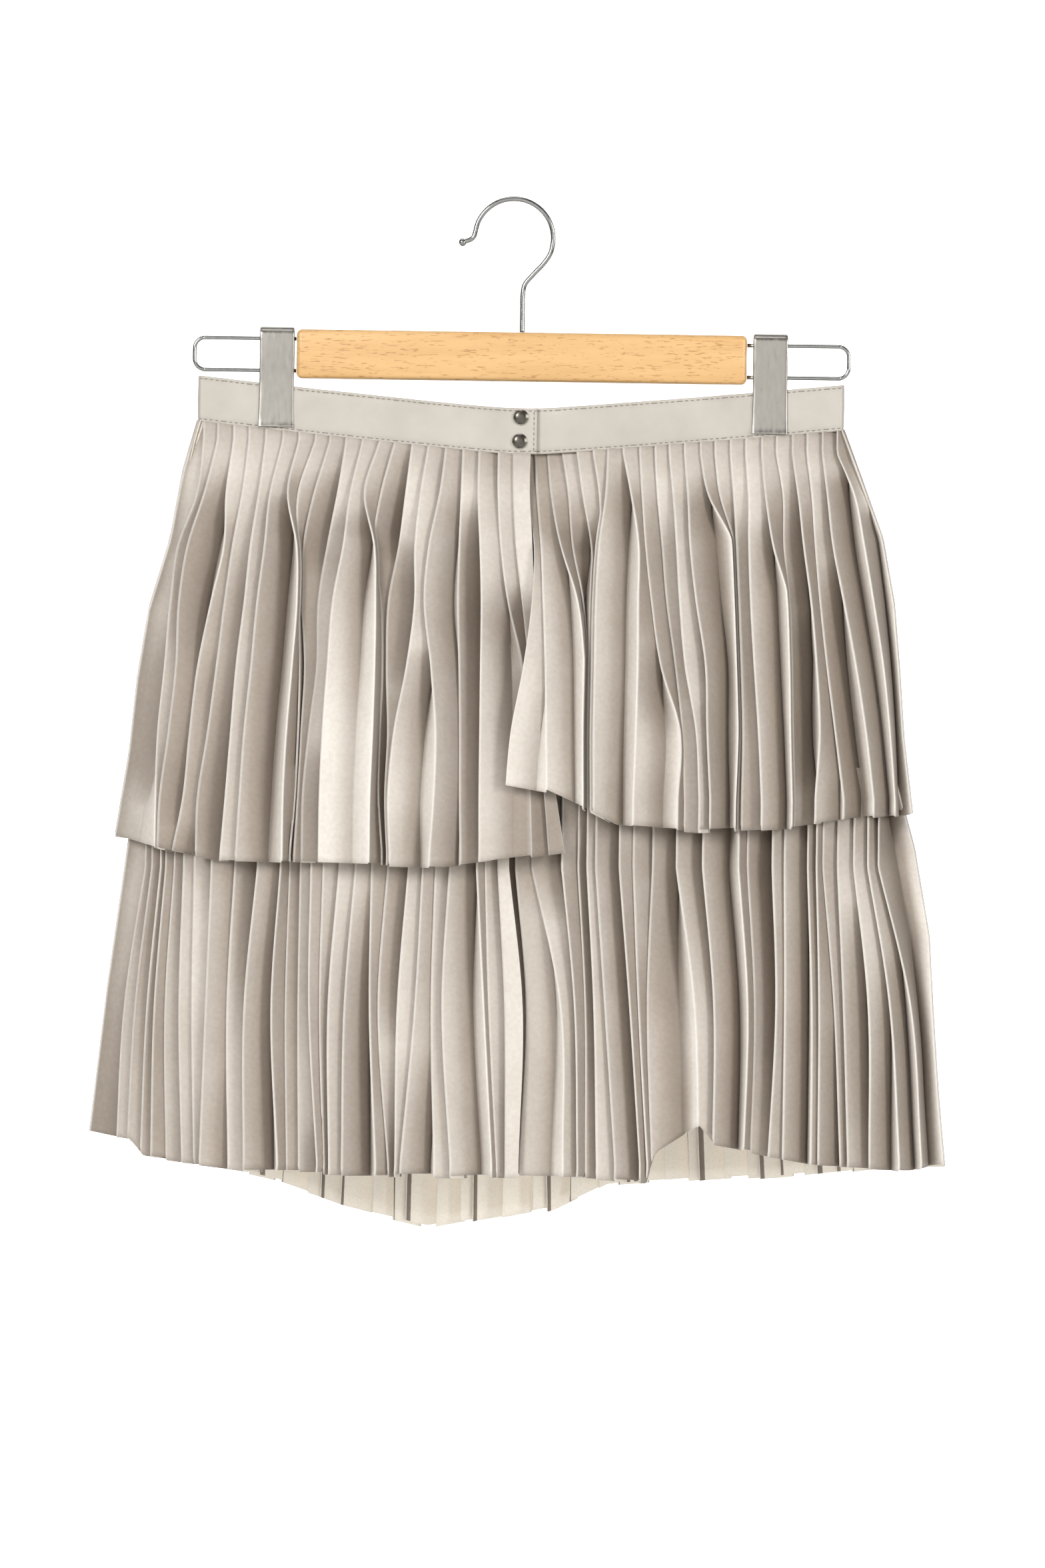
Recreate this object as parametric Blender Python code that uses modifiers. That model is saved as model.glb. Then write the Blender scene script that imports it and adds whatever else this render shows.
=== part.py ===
# Two-tier pleated leather mini skirt hanging by its band from a bar hanger with two clips.
# Metres, +Z up. The origin is the underside of the hook's crown, where a rail carries it.
# Tables are in millimetres. x runs from the garment's centre line to the viewer's right,
# and drop runs down from the hook's seat.

import math

import bmesh
import bpy
import numpy as np
from mathutils import Vector

MM = 0.001
BODY_X = 5.4
SEAM_GAP = 0.3

BAND_HALF = 183.0
BAND_TOP = 101.3
BAND_SAG = 16.5
BAND_SAG_ROUNDING = 0.12
BAND_HEIGHT = 26.0
BAND_WALL = 2.0
BAND_FLAT_DEPTH = 2.35
BAND_CORNER = 1.5
BAND_BULGE = 12.0
CLIP_SPAN = 128.5
BAND_OVERLAP_LEFT = -24.0
BAND_OVERLAP_RIGHT = 9.3
UNDERLAP_DEPTH = 2.4

LEATHER_WALL = 1.0
LINING_WALL = 1.0
LONG_FACE = 19.0
SHORT_FACE = 9.5
CLOSED_PITCH = 9.3
CLOSED_FOLD = 3.2
MIN_RIDGE_STEP = 2.6
SEAM_STAND = 1.0
LAST_FOLD = 0.2
LOWER_UNDERLAP = 5.2
UPPER_UNDERLAP = 6.2
UPPER_TOP_UNDERLAP = 5.6
SLIT_X = 8.0
SLIT_FOLD = 2.4
SLIT_DENT = 6.0
BAND_FOLD_GROWTH = (0.5, 26.0)
UNDERSKIRT_FOLD_GROWTH = (1.5, 20.0)
OVAL_POWER = 2.5

BAR_SIZE = (254.8, 12.0, 27.7)
BAR_DROP = 88.2
BAR_ROUNDING = 3.0
HOOK_WIRE = 2.8
HOOK_CENTRE = (-5.4, 20.8)
HOOK_RADIUS = 22.2
LOOP_WIRE = 2.2
LOOP_DROPS = (79.7, 97.8)
LOOP_END = 185.3
LOOP_CORNER = 6.0
CLIP_SIZE = (19.6, 56.6)
CLIP_TOP = 73.1
CLIP_WALL = 1.0
CLIP_CENTRES = {"left": -138.6, "right": 140.9}
CLIP_CROWN = 4.7
CLIP_SPRING_RADIUS = 3.3
CLIP_SPRING_INSET = 2.0
SNAP_RADIUS = 4.4
SNAP_HEIGHT = 2.1
SNAP_STAND = 0.15
TURNED_STEPS = 20
SNAPS = {"upper": (0.1, 123.1), "lower": (-0.4, 136.6)}

# How wide and deep the outer surface of each tier is, down its height.
# share of the height, half width left, half width right, half depth
UPPER_SECTIONS = (
    (0.00, 183.0, 183.0, 13.0),
    (0.12, 191.0, 193.0, 22.0),
    (0.28, 197.5, 206.0, 31.0),
    (0.45, 209.0, 213.0, 39.0),
    (0.62, 215.0, 216.5, 46.0),
    (0.80, 219.0, 219.5, 51.0),
    (1.00, 226.0, 225.0, 55.0),
)
LOWER_SECTIONS = (
    (0.00, 212.0, 212.0, 35.0),
    (0.20, 218.0, 222.0, 40.0),
    (0.42, 224.0, 233.0, 44.0),
    (0.62, 229.5, 238.5, 48.0),
    (0.82, 234.0, 242.0, 51.0),
    (1.00, 238.0, 246.0, 53.0),
)

# Knife pleats of the upper tier's left front, from the side seam to the slit.
# x at the hip, x at mid height, x at the hem, how far the fold lies back
UPPER_LEFT_FOLDS = (
    (-193, -199, -203, 0.5),
    (-187, -192, -199, 0.5),
    (-166, -180, -191, 3.5),
    (-161, -169, -179, 3.0),
    (-151, -158, -165, 1.5),
    (-143, -150, -156, 1.0),
    (-125, -127, -131, 0.0),
    (-122, -122, -127, 4.5),
    (-119, -118, -123, 5.5),
    (-108, -112, -118, 4.5),
    (-99, -106, -109, 0.5),
    (-81, -80, -82, 0.0),
    (-78, -76, -77, 5.0),
    (-67, -72, -73, 4.5),
    (-58, -62, -70, 0.5),
    (-50, -48, -48, 0.0),
    (-34, -33, -32, 4.0),
    (-22, -20, -20, 0.0),
    (-11, -2, 5, 1.0),
    (-3, 4, 16, 1.0),
    (6, 11, 28, 1.0),
)

# Upper tier's right front, from the slit to the side seam.
UPPER_RIGHT_FOLDS = (
    (11, 3, -6, 0.5),
    (17, 16, 18, 1.0),
    (24, 37, 39, 0.5),
    (30, 40, 42, 4.5),
    (38, 43, 45, 5.0),
    (42, 46, 48, 3.5),
    (46, 49, 51, 0.5),
    (67, 67, 65, 0.0),
    (72, 80, 90, 3.0),
    (81, 89, 95, 4.5),
    (89, 95, 103, 1.0),
    (96, 106, 111, 0.0),
    (118, 121, 121, 3.0),
    (121, 125, 125, 5.5),
    (124, 129, 129, 4.5),
    (130, 134, 138, 1.0),
    (143, 153, 155, 0.0),
    (149, 157, 159, 4.5),
    (160, 168, 168, 0.5),
    (167, 175, 185, 3.5),
    (177, 190, 202, 1.5),
    (193, 205, 214, 0.5),
)

# Lower tier's left front, from the side seam to the slit.
# x under the upper hem, x at mid height, x at the hem, how far the fold lies back
LOWER_LEFT_FOLDS = (
    (-208, -218, -222, 0.5),
    (-204, -212, -216, 1.5),
    (-199, -205, -208, 1.5),
    (-196, -201, -202, 1.0),
    (-191, -195, -193, 3.0),
    (-186, -187, -184, 1.5),
    (-180, -180, -177, 1.5),
    (-170, -172, -174, 0.0),
    (-157, -160, -158, 2.5),
    (-144, -150, -149, 0.0),
    (-131, -135, -130, 0.5),
    (-126, -127, -125, 3.5),
    (-120, -120, -118, 3.0),
    (-114, -114, -108, 0.0),
    (-107, -108, -104, 1.5),
    (-98, -103, -101, 1.0),
    (-89, -94, -94, 1.0),
    (-80, -80, -75, 1.5),
    (-71, -75, -68, 3.0),
    (-59, -64, -64, 1.5),
    (-51, -54, -61, 1.0),
    (-44, -45, -42, 2.5),
    (-36, -39, -33, 0.5),
    (-21, -16, -10, 0.0),
    (-16, -13, -7, 2.0),
    (-9, -4, -2, 0.5),
    (-3, 6, 5, 0.5),
)

# Lower tier's right front, from the slit to the side seam.
LOWER_RIGHT_FOLDS = (
    (-14, -8, -8, 0.5),
    (1, 8, 6, 0.5),
    (10, 27, 30, 0.5),
    (27, 35, 38, 0.0),
    (36, 41, 43, 3.0),
    (41, 46, 49, 1.0),
    (46, 52, 59, 0.5),
    (59, 66, 73, 0.0),
    (67, 71, 77, 2.0),
    (78, 76, 80, 3.5),
    (91, 102, 106, 2.0),
    (106, 113, 114, 0.5),
    (126, 132, 131, 0.0),
    (131, 136, 135, 3.5),
    (145, 148, 145, 0.5),
    (152, 153, 153, 1.0),
    (165, 168, 169, 1.0),
    (170, 172, 173, 1.0),
    (174, 181, 186, 3.5),
    (182, 186, 190, 2.5),
    (191, 200, 202, 1.0),
    (199, 212, 219, 0.5),
    (205, 224, 232, 1.0),
)

# Hem heights along the front, left and right of the slit, and along the back.
# x, drop
UPPER_LEFT_HEM = ((-226, 362), (-208, 367), (-190, 371), (-165, 375), (-37, 377), (0, 372), (28, 368))
UPPER_RIGHT_HEM = ((-6, 330), (18, 334), (43, 345), (57, 352), (103, 355), (155, 352), (201, 346), (225, 343))
UPPER_BACK_HEM = ((-226, 362), (-150, 372), (0, 378), (150, 366), (225, 343))
LOWER_LEFT_HEM = ((-238, 529), (-214, 533), (-206, 542), (-149, 549), (-32, 550), (5, 549))
LOWER_RIGHT_HEM = (
    (-8, 549), (36, 549), (76, 552), (81, 536), (106, 520), (114, 530), (171, 541), (226, 545), (246, 542),
)
LOWER_BACK_HEM = (
    (-238, 529), (-175, 545), (-131, 556), (-96, 569), (-47, 582), (25, 570), (57, 555), (155, 551), (246, 542),
)
LOWER_TOP = 318.0

UPPER_LEVELS = (0.0, 0.12, 0.28, 0.45, 0.62, 0.8, 1.0)
LOWER_LEVELS = (0.0, 0.2, 0.42, 0.62, 0.82, 1.0)
UPPER_STATIONS = (0.0, 0.3, 0.55, 1.0)
LOWER_STATIONS = (0.2, 0.58, 1.0)
BACK_PLEATS = {"upper": 38, "lower": 44}

# The plain underskirt that carries the lower tier.
# drop at the middle, how much the row rises at the sides, half width, half depth
UNDERSKIRT_ROWS = (
    (136.0, 4.0, 96.0, 10.0),
    (150.0, 3.0, 110.0, 9.0),
    (172.0, 0.0, 147.0, 8.6),
    (215.0, 0.0, 183.0, 17.0),
    (262.0, 0.0, 203.0, 26.0),
    (318.0, 0.0, 207.0, 30.6),
    (420.0, 0.0, 212.0, 29.5),
    (508.0, 0.0, 218.0, 36.0),
)
UNDERSKIRT_YOKE_END = 262.0
UNDERSKIRT_YOKE_GAP = 1.2
UNDERSKIRT_COLUMNS = 28
UNDERSKIRT_CLEARANCE = 1.4

LEATHER = (0.58, 0.52, 0.45, 1.0)
BAND_LEATHER = (0.66, 0.61, 0.54, 1.0)
LINING_CLOTH = (0.33, 0.29, 0.25, 1.0)
BEECH = (0.87, 0.56, 0.24, 1.0)
CHROME = (0.78, 0.78, 0.77, 1.0)
CLIP_STEEL = (0.46, 0.45, 0.42, 1.0)
GUNMETAL = (0.11, 0.10, 0.09, 1.0)


def clear_scene():
    for old in list(bpy.data.objects):
        bpy.data.objects.remove(old, do_unlink=True)


def make_collection(name):
    collection = bpy.data.collections.new(name)
    bpy.context.scene.collection.children.link(collection)
    return collection


def make_material(name, colour, roughness, metallic=0.0):
    material = bpy.data.materials.new(name)
    material.use_nodes = True
    shader = material.node_tree.nodes["Principled BSDF"]
    shader.inputs["Base Color"].default_value = colour
    shader.inputs["Roughness"].default_value = roughness
    shader.inputs["Metallic"].default_value = metallic
    return material


def add_object(name, data, material, collection):
    piece = bpy.data.objects.new(name, data)
    piece.location = (BODY_X * MM, 0.0, 0.0)
    data.materials.append(material)
    collection.objects.link(piece)
    return piece


def ease(value):
    clamped = min(max(value, 0.0), 1.0)
    return clamped * clamped * (3.0 - 2.0 * clamped)


def column(rows, index):
    return [row[index] for row in rows]


def read_table(rows, index, at):
    return float(np.interp(at, column(rows, 0), column(rows, index)))


def through(stations, values, at):
    """A smooth curve through a few stations, level beyond the last one."""
    if at <= stations[0]:
        return float(values[0])
    if at >= stations[-1]:
        return float(values[-1])
    slopes = np.gradient(np.array(values, dtype=float), np.array(stations, dtype=float))
    index = int(np.searchsorted(stations, at) - 1)
    width = stations[index + 1] - stations[index]
    s = (at - stations[index]) / width
    start = (2 * s**3 - 3 * s**2 + 1) * values[index]
    start_slope = (s**3 - 2 * s**2 + s) * width * slopes[index]
    end = (3 * s**2 - 2 * s**3) * values[index + 1]
    end_slope = (s**3 - s**2) * width * slopes[index + 1]
    return float(start + start_slope + end + end_slope)


def band_top_drop(x):
    """The band's top edge sags between the clips in a V with a rounded point."""
    u = min(abs(x) / BAND_HALF, 1.0)
    e = BAND_SAG_ROUNDING
    rise = (math.hypot(u, e) - e) / (math.hypot(1.0, e) - e)
    return BAND_TOP + BAND_SAG * (1.0 - rise)


def band_depth(x):
    """How far the band's outer face stands from the middle plane."""
    v = min(abs(x) / CLIP_SPAN, 1.0)
    depth = BAND_FLAT_DEPTH + BAND_BULGE * (1.0 - v * v) ** 1.5
    end = min(max((BAND_HALF - abs(x)) / BAND_CORNER, 0.0), 1.0)
    return SEAM_GAP / 2 + (depth - SEAM_GAP / 2) * end


def underlap(x):
    """How much deeper the right front lies where the left front covers it."""
    return UNDERLAP_DEPTH * ease((38.0 - x) / 22.0)


def oval_depth(x, half_width, half_depth):
    u = min(abs(x) / half_width, 1.0)
    return half_depth * (1.0 - u**OVAL_POWER) ** (1.0 / OVAL_POWER)


def tier_depth(sections, share, x, from_band):
    half = read_table(sections, 1 if x < 0 else 2, share)
    depth = oval_depth(x, half, read_table(sections, 3, share))
    if from_band:
        mix = ease(share / 0.2)
        at_band = band_depth(x * BAND_HALF / half)
        depth = at_band + (depth - at_band) * mix
    return max(depth, SEAM_GAP / 2)


def inward(a, b):
    """Unit vector square to the step from a to b, pointing into the skirt."""
    step = np.subtract(b, a)
    length = math.hypot(step[0], step[1])
    return np.array((-step[1], step[0])) / length, length


def fold_between(a, b, limit):
    """The valley between two mountain folds, from the lengths of the pleat's two faces."""
    normal, pitch = inward(a, b)
    along_open = (LONG_FACE**2 - SHORT_FACE**2 + pitch**2) / (2 * pitch)
    if along_open < pitch - 0.7:
        along = along_open
        depth = math.sqrt(max(LONG_FACE**2 - along_open**2, 1.0))
    else:
        along = max(0.6 * pitch, pitch - 0.7)
        depth = CLOSED_FOLD * (pitch / CLOSED_PITCH) ** 1.6
    depth = min(depth, limit)
    direction = np.subtract(b, a) / pitch
    return np.array(a) + direction * along + normal * depth


def keep_apart(values):
    spaced = [values[0]]
    for value in values[1:]:
        spaced.append(max(value, spaced[-1] + MIN_RIDGE_STEP))
    return spaced


def fold_limit(share, x, half, from_band):
    """Pleats are shallow under the band and near the side seams, where the layers are close."""
    side = 1.0 - ease((abs(x) / half - 0.7) / 0.25)
    limit = 2.6 + 3.6 * side
    start, growth = BAND_FOLD_GROWTH if from_band else UNDERSKIRT_FOLD_GROWTH
    return min(limit, start + growth * share)


def folded_row(ridges, share, half_left, half_right, from_band):
    """One row of a tier: mountain folds joined by their valleys, as (x, y) pairs.

    The last face runs almost flat to the raw edge or the side seam.
    """
    row = [np.array(ridges[0])]
    for number, (a, b) in enumerate(zip(ridges[:-1], ridges[1:])):
        half = half_left if a[0] < 0 else half_right
        limit = fold_limit(share, a[0], half, from_band)
        if a[1] < 0:
            limit = min(limit, SLIT_FOLD + 0.3 * max(abs(a[0] - SLIT_X) - 16.0, 0.0))
        if number == len(ridges) - 2:
            limit = LAST_FOLD
        row.append(fold_between(a, b, limit))
        row.append(np.array(b))
    return row


def front_ridges(xs, backs, share, sections, from_band, extra_depth):
    ridges = []
    for x, back in zip(xs, backs):
        half = read_table(sections, 1 if x < 0 else 2, share)
        near_side = 1.0 - ease((abs(x) / half - 0.8) / 0.16)
        settle = back * ease(share / 0.3)
        depth = tier_depth(sections, share, x, from_band) - settle * near_side - extra_depth(x, share)
        ridges.append((x, -max(depth, SEAM_STAND)))
    return ridges


def surface_from_rows(name, rows):
    """A strip of triangles through matching rows of points, facing outwards."""
    mesh = bpy.data.meshes.new(name)
    shape = bmesh.new()
    grid = [[shape.verts.new(Vector(point) * MM) for point in row] for row in rows]
    for upper, lower in zip(grid[:-1], grid[1:]):
        for k in range(len(upper) - 1):
            shape.faces.new((upper[k], lower[k], lower[k + 1]))
            shape.faces.new((upper[k], lower[k + 1], upper[k + 1]))
    shape.to_mesh(mesh)
    shape.free()
    return mesh


def add_wall(piece, thickness):
    wall = piece.modifiers.new("Wall", "SOLIDIFY")
    wall.thickness = thickness * MM
    wall.offset = -1.0
    wall.use_even_offset = True
    wall.use_quality_normals = True


def build_front_tier(name, folds, hem, levels, stations, sections, from_band, ends, extra_depth,
                     material, collection):
    """A front panel of a tier. ends is (side seam at start, side seam at end)."""
    first_top, last_top = ends["top"]
    count = len(folds)
    rows = []
    for share in levels:
        xs = []
        for number, (x_hip, x_mid, x_hem, _) in enumerate(folds):
            values = [x_hip, x_mid, x_hem]
            if from_band:
                values = [first_top + (last_top - first_top) * number / (count - 1)] + values
            xs.append(through(stations, values, share))
        backs = column(folds, 3)
        if ends["seam"] == "start":
            xs = [-read_table(sections, 1, share)] + xs
            backs = [0.0] + backs
        else:
            xs = xs + [read_table(sections, 2, share)]
            backs = backs + [0.0]
        xs = keep_apart(xs) if ends["seam"] == "start" else keep_apart_from_end(xs)
        ridges = front_ridges(xs, backs, share, sections, from_band, extra_depth)
        half_left = read_table(sections, 1, share)
        half_right = read_table(sections, 2, share)
        flat = folded_row(ridges, share, half_left, half_right, from_band)
        if ends["seam"] == "start":
            flat = [(-half_left, -SEAM_GAP / 2)] + flat
        else:
            flat = flat + [(half_right, -SEAM_GAP / 2)]
        rows.append([place_point(point, share, hem, from_band) for point in flat])
    piece = add_object(name, surface_from_rows(name, rows), material, collection)
    add_wall(piece, LEATHER_WALL)
    return piece


def keep_apart_from_end(values):
    mirrored = keep_apart([-value for value in reversed(values)])
    return [-value for value in reversed(mirrored)]


def place_point(point, share, hem, from_band):
    x, y = float(point[0]), float(point[1])
    hem_drop = read_table(hem, 1, x)
    if from_band:
        top_drop = band_top_drop(x * 0.985) + BAND_HEIGHT + SEAM_GAP
    else:
        top_drop = LOWER_TOP
    drop = top_drop + (hem_drop - top_drop) * share
    return (x, y, -drop)


def build_back_tier(name, pleats, hem, levels, sections, from_band, material, collection):
    """The back panel, folded the same way round the body, with gently uneven folds."""
    rows = []
    for share in levels:
        half_left = read_table(sections, 1, share)
        half_right = read_table(sections, 2, share)
        ridges = []
        for number in range(pleats + 1):
            turn = math.pi * number / pleats
            spread = math.cos(turn) * 0.35 + (1.0 - 2.0 * number / pleats) * 0.65
            wave = 2.4 * ease(share / 0.4) * math.sin(number * 1.9 + 1.3 * share)
            inside = math.sin(turn) ** 0.5 if 0 < number < pleats else 0.0
            x = spread * (half_right if spread > 0 else half_left) + wave * inside
            back = 1.6 * (1.0 + math.sin(number * 0.95)) * ease(share / 0.3) * inside
            depth = tier_depth(sections, share, x, from_band) - back
            ridges.append((x, max(depth, SEAM_STAND)))
        flat = folded_row(ridges, share, half_left, half_right, from_band)
        flat = [(half_right, SEAM_GAP / 2)] + flat + [(-half_left, SEAM_GAP / 2)]
        rows.append([place_point(point, share, hem, from_band) for point in flat])
    piece = add_object(name, surface_from_rows(name, rows), material, collection)
    add_wall(piece, LEATHER_WALL)
    return piece


def left_under_right(x, share):
    """Low down, the left front passes behind the right one at the slit."""
    return UPPER_UNDERLAP * ease((x + 26.0) / 24.0) * ease((share - 0.3) / 0.12)


def right_under_left(x, share):
    """Just under the band, the right front passes behind the left one."""
    return UPPER_TOP_UNDERLAP * ease((38.0 - x) / 24.0) * (1.0 - ease((share - 0.2) / 0.12))


def lower_right_under(x, share):
    """The lower tier's right front stays behind the left one all the way down."""
    return LOWER_UNDERLAP * ease((30.0 - x) / 22.0)


def no_shift(x, share):
    return 0.0


def build_band_piece(name, xs, depth_at, material, collection):
    rows = []
    for edge in (0.0, 0.5, 1.0):
        row = []
        for x in xs:
            drop = band_top_drop(x) + BAND_HEIGHT * edge
            y = depth_at(x)
            if abs(x) > BAND_HALF - 0.01:
                stand = math.copysign(SEAM_STAND, y)
                corner = [(x, y, -drop), (x, stand, -drop)]
                row += corner if x == xs[0] else reversed(corner)
            else:
                row.append((x, y, -drop))
        rows.append(row)
    piece = add_object(name, surface_from_rows(name, rows), material, collection)
    add_wall(piece, BAND_WALL)
    return piece


def spread_points(start, end, step):
    count = max(2, int(round(abs(end - start) / step)))
    return [start + (end - start) * k / count for k in range(count + 1)]


def build_waistband(material, collection):
    inner = BAND_HALF - BAND_CORNER
    left = [-BAND_HALF] + spread_points(-inner, BAND_OVERLAP_RIGHT, 8.0)
    right = spread_points(BAND_OVERLAP_LEFT, inner, 8.0) + [BAND_HALF]
    around = [BAND_HALF] + spread_points(inner, -inner, 8.0) + [-BAND_HALF]
    build_band_piece("waistband_front_left", left, lambda x: -band_depth(x), material, collection)
    build_band_piece(
        "waistband_front_right", right, lambda x: -(band_depth(x) - underlap(x)), material, collection
    )
    build_band_piece("waistband_back", around, band_depth, material, collection)


def underskirt_point(angle, row):
    drop, rise, half, depth = row
    cosine, sine = math.cos(angle), math.sin(angle)
    x = half * math.copysign(abs(cosine) ** (2 / OVAL_POWER), cosine)
    y = depth * abs(sine) ** (2 / OVAL_POWER)
    if drop < band_top_drop(0.0) + BAND_HEIGHT:
        y = min(y, band_depth(x) - BAND_WALL - UNDERSKIRT_CLEARANCE)
    y = math.copysign(max(y, SEAM_STAND), sine)
    if y < 0:
        y += min(SLIT_DENT, -y - SEAM_STAND) * ease((60.0 - abs(x - SLIT_X)) / 26.0)
    return (x, y, -(drop - rise * abs(x) / half))


def build_underskirt_panel(name, side, sections, material, collection):
    """One half of the underskirt, through the sections given."""
    sign = -1.0 if side == "front" else 1.0
    rows = []
    for drop, rise, half, depth in sections:
        z = -(drop - rise)
        row = [(sign * half, sign * SEAM_GAP / 2, z), (sign * half, sign * SEAM_STAND, z)]
        for k in range(1, UNDERSKIRT_COLUMNS):
            angle = math.pi * (k / UNDERSKIRT_COLUMNS + (1.0 if side == "front" else 0.0))
            row.append(underskirt_point(angle, (drop, rise, half, depth)))
        row += [(-sign * half, sign * SEAM_STAND, z), (-sign * half, sign * SEAM_GAP / 2, z)]
        rows.append(row)
    panel = add_object(name, surface_from_rows(name, rows), material, collection)
    add_wall(panel, LINING_WALL)


def build_underskirt(material, collection):
    """A plain underskirt, open at top and bottom: a yoke that starts inside the band, and a skirt below it."""
    yoke = [row for row in UNDERSKIRT_ROWS if row[0] <= UNDERSKIRT_YOKE_END]
    drop, rise, half, depth = yoke[-1]
    skirt = [(drop + UNDERSKIRT_YOKE_GAP, rise, half, depth)]
    skirt += [row for row in UNDERSKIRT_ROWS if row[0] > UNDERSKIRT_YOKE_END]
    for side in ("front", "back"):
        build_underskirt_panel(f"underskirt_yoke_{side}", side, yoke, material, collection)
        build_underskirt_panel(f"underskirt_{side}", side, skirt, material, collection)


def turned_object(name, profile, closed, material, collection):
    """A profile of (radius, height) points swept once round the object's own Z axis."""
    mesh = bpy.data.meshes.new(name)
    points = [(radius * MM, 0.0, height * MM) for radius, height in profile]
    edges = [(k, k + 1) for k in range(len(points) - 1)]
    if closed:
        edges.append((len(points) - 1, 0))
    mesh.from_pydata(points, edges, [])
    piece = add_object(name, mesh, material, collection)
    sweep = piece.modifiers.new("Turning", "SCREW")
    sweep.axis = "Z"
    sweep.steps = TURNED_STEPS
    sweep.render_steps = TURNED_STEPS
    sweep.use_merge_vertices = True
    sweep.merge_threshold = 0.0001
    return piece


def build_snaps(material, collection):
    """Two domed caps that stand on the band's front where its ends overlap."""
    profile = [(0.0, SNAP_HEIGHT)]
    for degrees in (75, 55, 35, 15):
        angle = math.radians(degrees)
        profile.append((SNAP_RADIUS * math.cos(angle), SNAP_HEIGHT * (0.25 + 0.75 * math.sin(angle))))
    profile += [(SNAP_RADIUS, 0.0), (0.0, 0.0)]
    for position, (x, drop) in SNAPS.items():
        cap = turned_object(f"snap_{position}", profile, False, material, collection)
        cap.rotation_euler.x = math.radians(90.0)
        seat = band_depth(x) + SEAM_GAP + SNAP_STAND
        cap.location = ((BODY_X + x) * MM, -seat * MM, -drop * MM)


def build_bar(material, collection):
    mesh = bpy.data.meshes.new("hanger_bar")
    box = bmesh.new()
    bmesh.ops.create_cube(box, size=1.0)
    bmesh.ops.scale(box, vec=Vector(BAR_SIZE) * MM, verts=box.verts)
    box.to_mesh(mesh)
    box.free()
    bar = add_object("hanger_bar", mesh, material, collection)
    bar.location.z = -BAR_DROP * MM
    rounding = bar.modifiers.new("Rounding", "BEVEL")
    rounding.width = BAR_ROUNDING * MM
    rounding.segments = 3


def wire_object(name, points, diameter, radii, material, collection):
    curve = bpy.data.curves.new(name, "CURVE")
    curve.dimensions = "3D"
    curve.bevel_depth = diameter / 2 * MM
    curve.bevel_resolution = 2
    curve.use_fill_caps = True
    spline = curve.splines.new("POLY")
    spline.points.add(len(points) - 1)
    for spot, (x, drop), radius in zip(spline.points, points, radii):
        spot.co = (x * MM, 0.0, -drop * MM, 1.0)
        spot.radius = radius
    return add_object(name, curve, material, collection)


def build_hook(material, collection):
    """Stem, S-bend, crown and a short outward flick with a ball on its tip."""
    cx, cz = HOOK_CENTRE
    points = [(0.0, BAR_DROP - BAR_SIZE[2] / 2 - SEAM_GAP), (0.0, 60.0), (0.0, 52.5), (1.4, 46.5)]
    points += [(6.4, 40.8), (11.4, 35.4), (15.2, 29.6)]
    for degrees in range(-8, 176, 12):
        angle = math.radians(degrees)
        points.append((cx + HOOK_RADIUS * math.cos(angle), cz - HOOK_RADIUS * math.sin(angle)))
    points += [(-28.2, 20.2), (-30.0, 22.0), (-32.6, 23.0)]
    radii = [1.0] * len(points)
    tip_x, tip_drop = -33.4, 23.3
    for along, radius in ((0.0, 1.25), (0.7, 1.5), (1.6, 1.62), (2.5, 1.5), (3.2, 1.15), (3.6, 0.6)):
        points.append((tip_x - along * 0.93, tip_drop + along * 0.36))
        radii.append(radius)
    wire_object("hanger_hook", points, HOOK_WIRE, radii, material, collection)


def build_loops(material, collection):
    """A flat wire loop at each end of the bar, on which a clip slides."""
    half_bar = BAR_SIZE[0] / 2 + SEAM_GAP
    top, bottom = LOOP_DROPS
    for side, sign in (("left", -1), ("right", 1)):
        points = [(sign * half_bar, top)]
        for centre_drop, start in ((top + LOOP_CORNER, 90), (bottom - LOOP_CORNER, 0)):
            for step in range(5):
                angle = math.radians(start - 22.5 * step)
                x = LOOP_END - LOOP_CORNER + LOOP_CORNER * math.cos(angle)
                points.append((sign * x, centre_drop - LOOP_CORNER * math.sin(angle)))
        points.append((sign * half_bar, bottom))
        wire_object(f"hanger_loop_{side}", points, LOOP_WIRE, [1.0] * len(points), material, collection)


def clip_profile():
    """Half of the bent strip seen from its end, as (y, drop), from crown to jaw."""
    crown = []
    for degrees in range(90, -1, -15):
        angle = math.radians(degrees)
        crown.append((CLIP_CROWN * math.cos(angle), CLIP_TOP + CLIP_CROWN * (1.0 - math.sin(angle))))
    jaw = BAND_FLAT_DEPTH + SEAM_GAP + CLIP_WALL
    bottom = CLIP_TOP + CLIP_SIZE[1]
    return crown + [(CLIP_CROWN, 84.0), (4.3, 92.0), (jaw, 103.0), (jaw, 126.5), (jaw + 0.6, bottom)]


def build_clips(material, collection):
    half = clip_profile()
    outline = [(-y, drop) for y, drop in reversed(half[1:])] + half
    for side, centre in CLIP_CENTRES.items():
        rows = []
        for x in (centre - CLIP_SIZE[0] / 2, centre + CLIP_SIZE[0] / 2):
            rows.append([(x, y, -drop) for y, drop in outline])
        name = f"clip_{side}"
        clip = add_object(name, surface_from_rows(name, rows), material, collection)
        add_wall(clip, CLIP_WALL)


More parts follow.
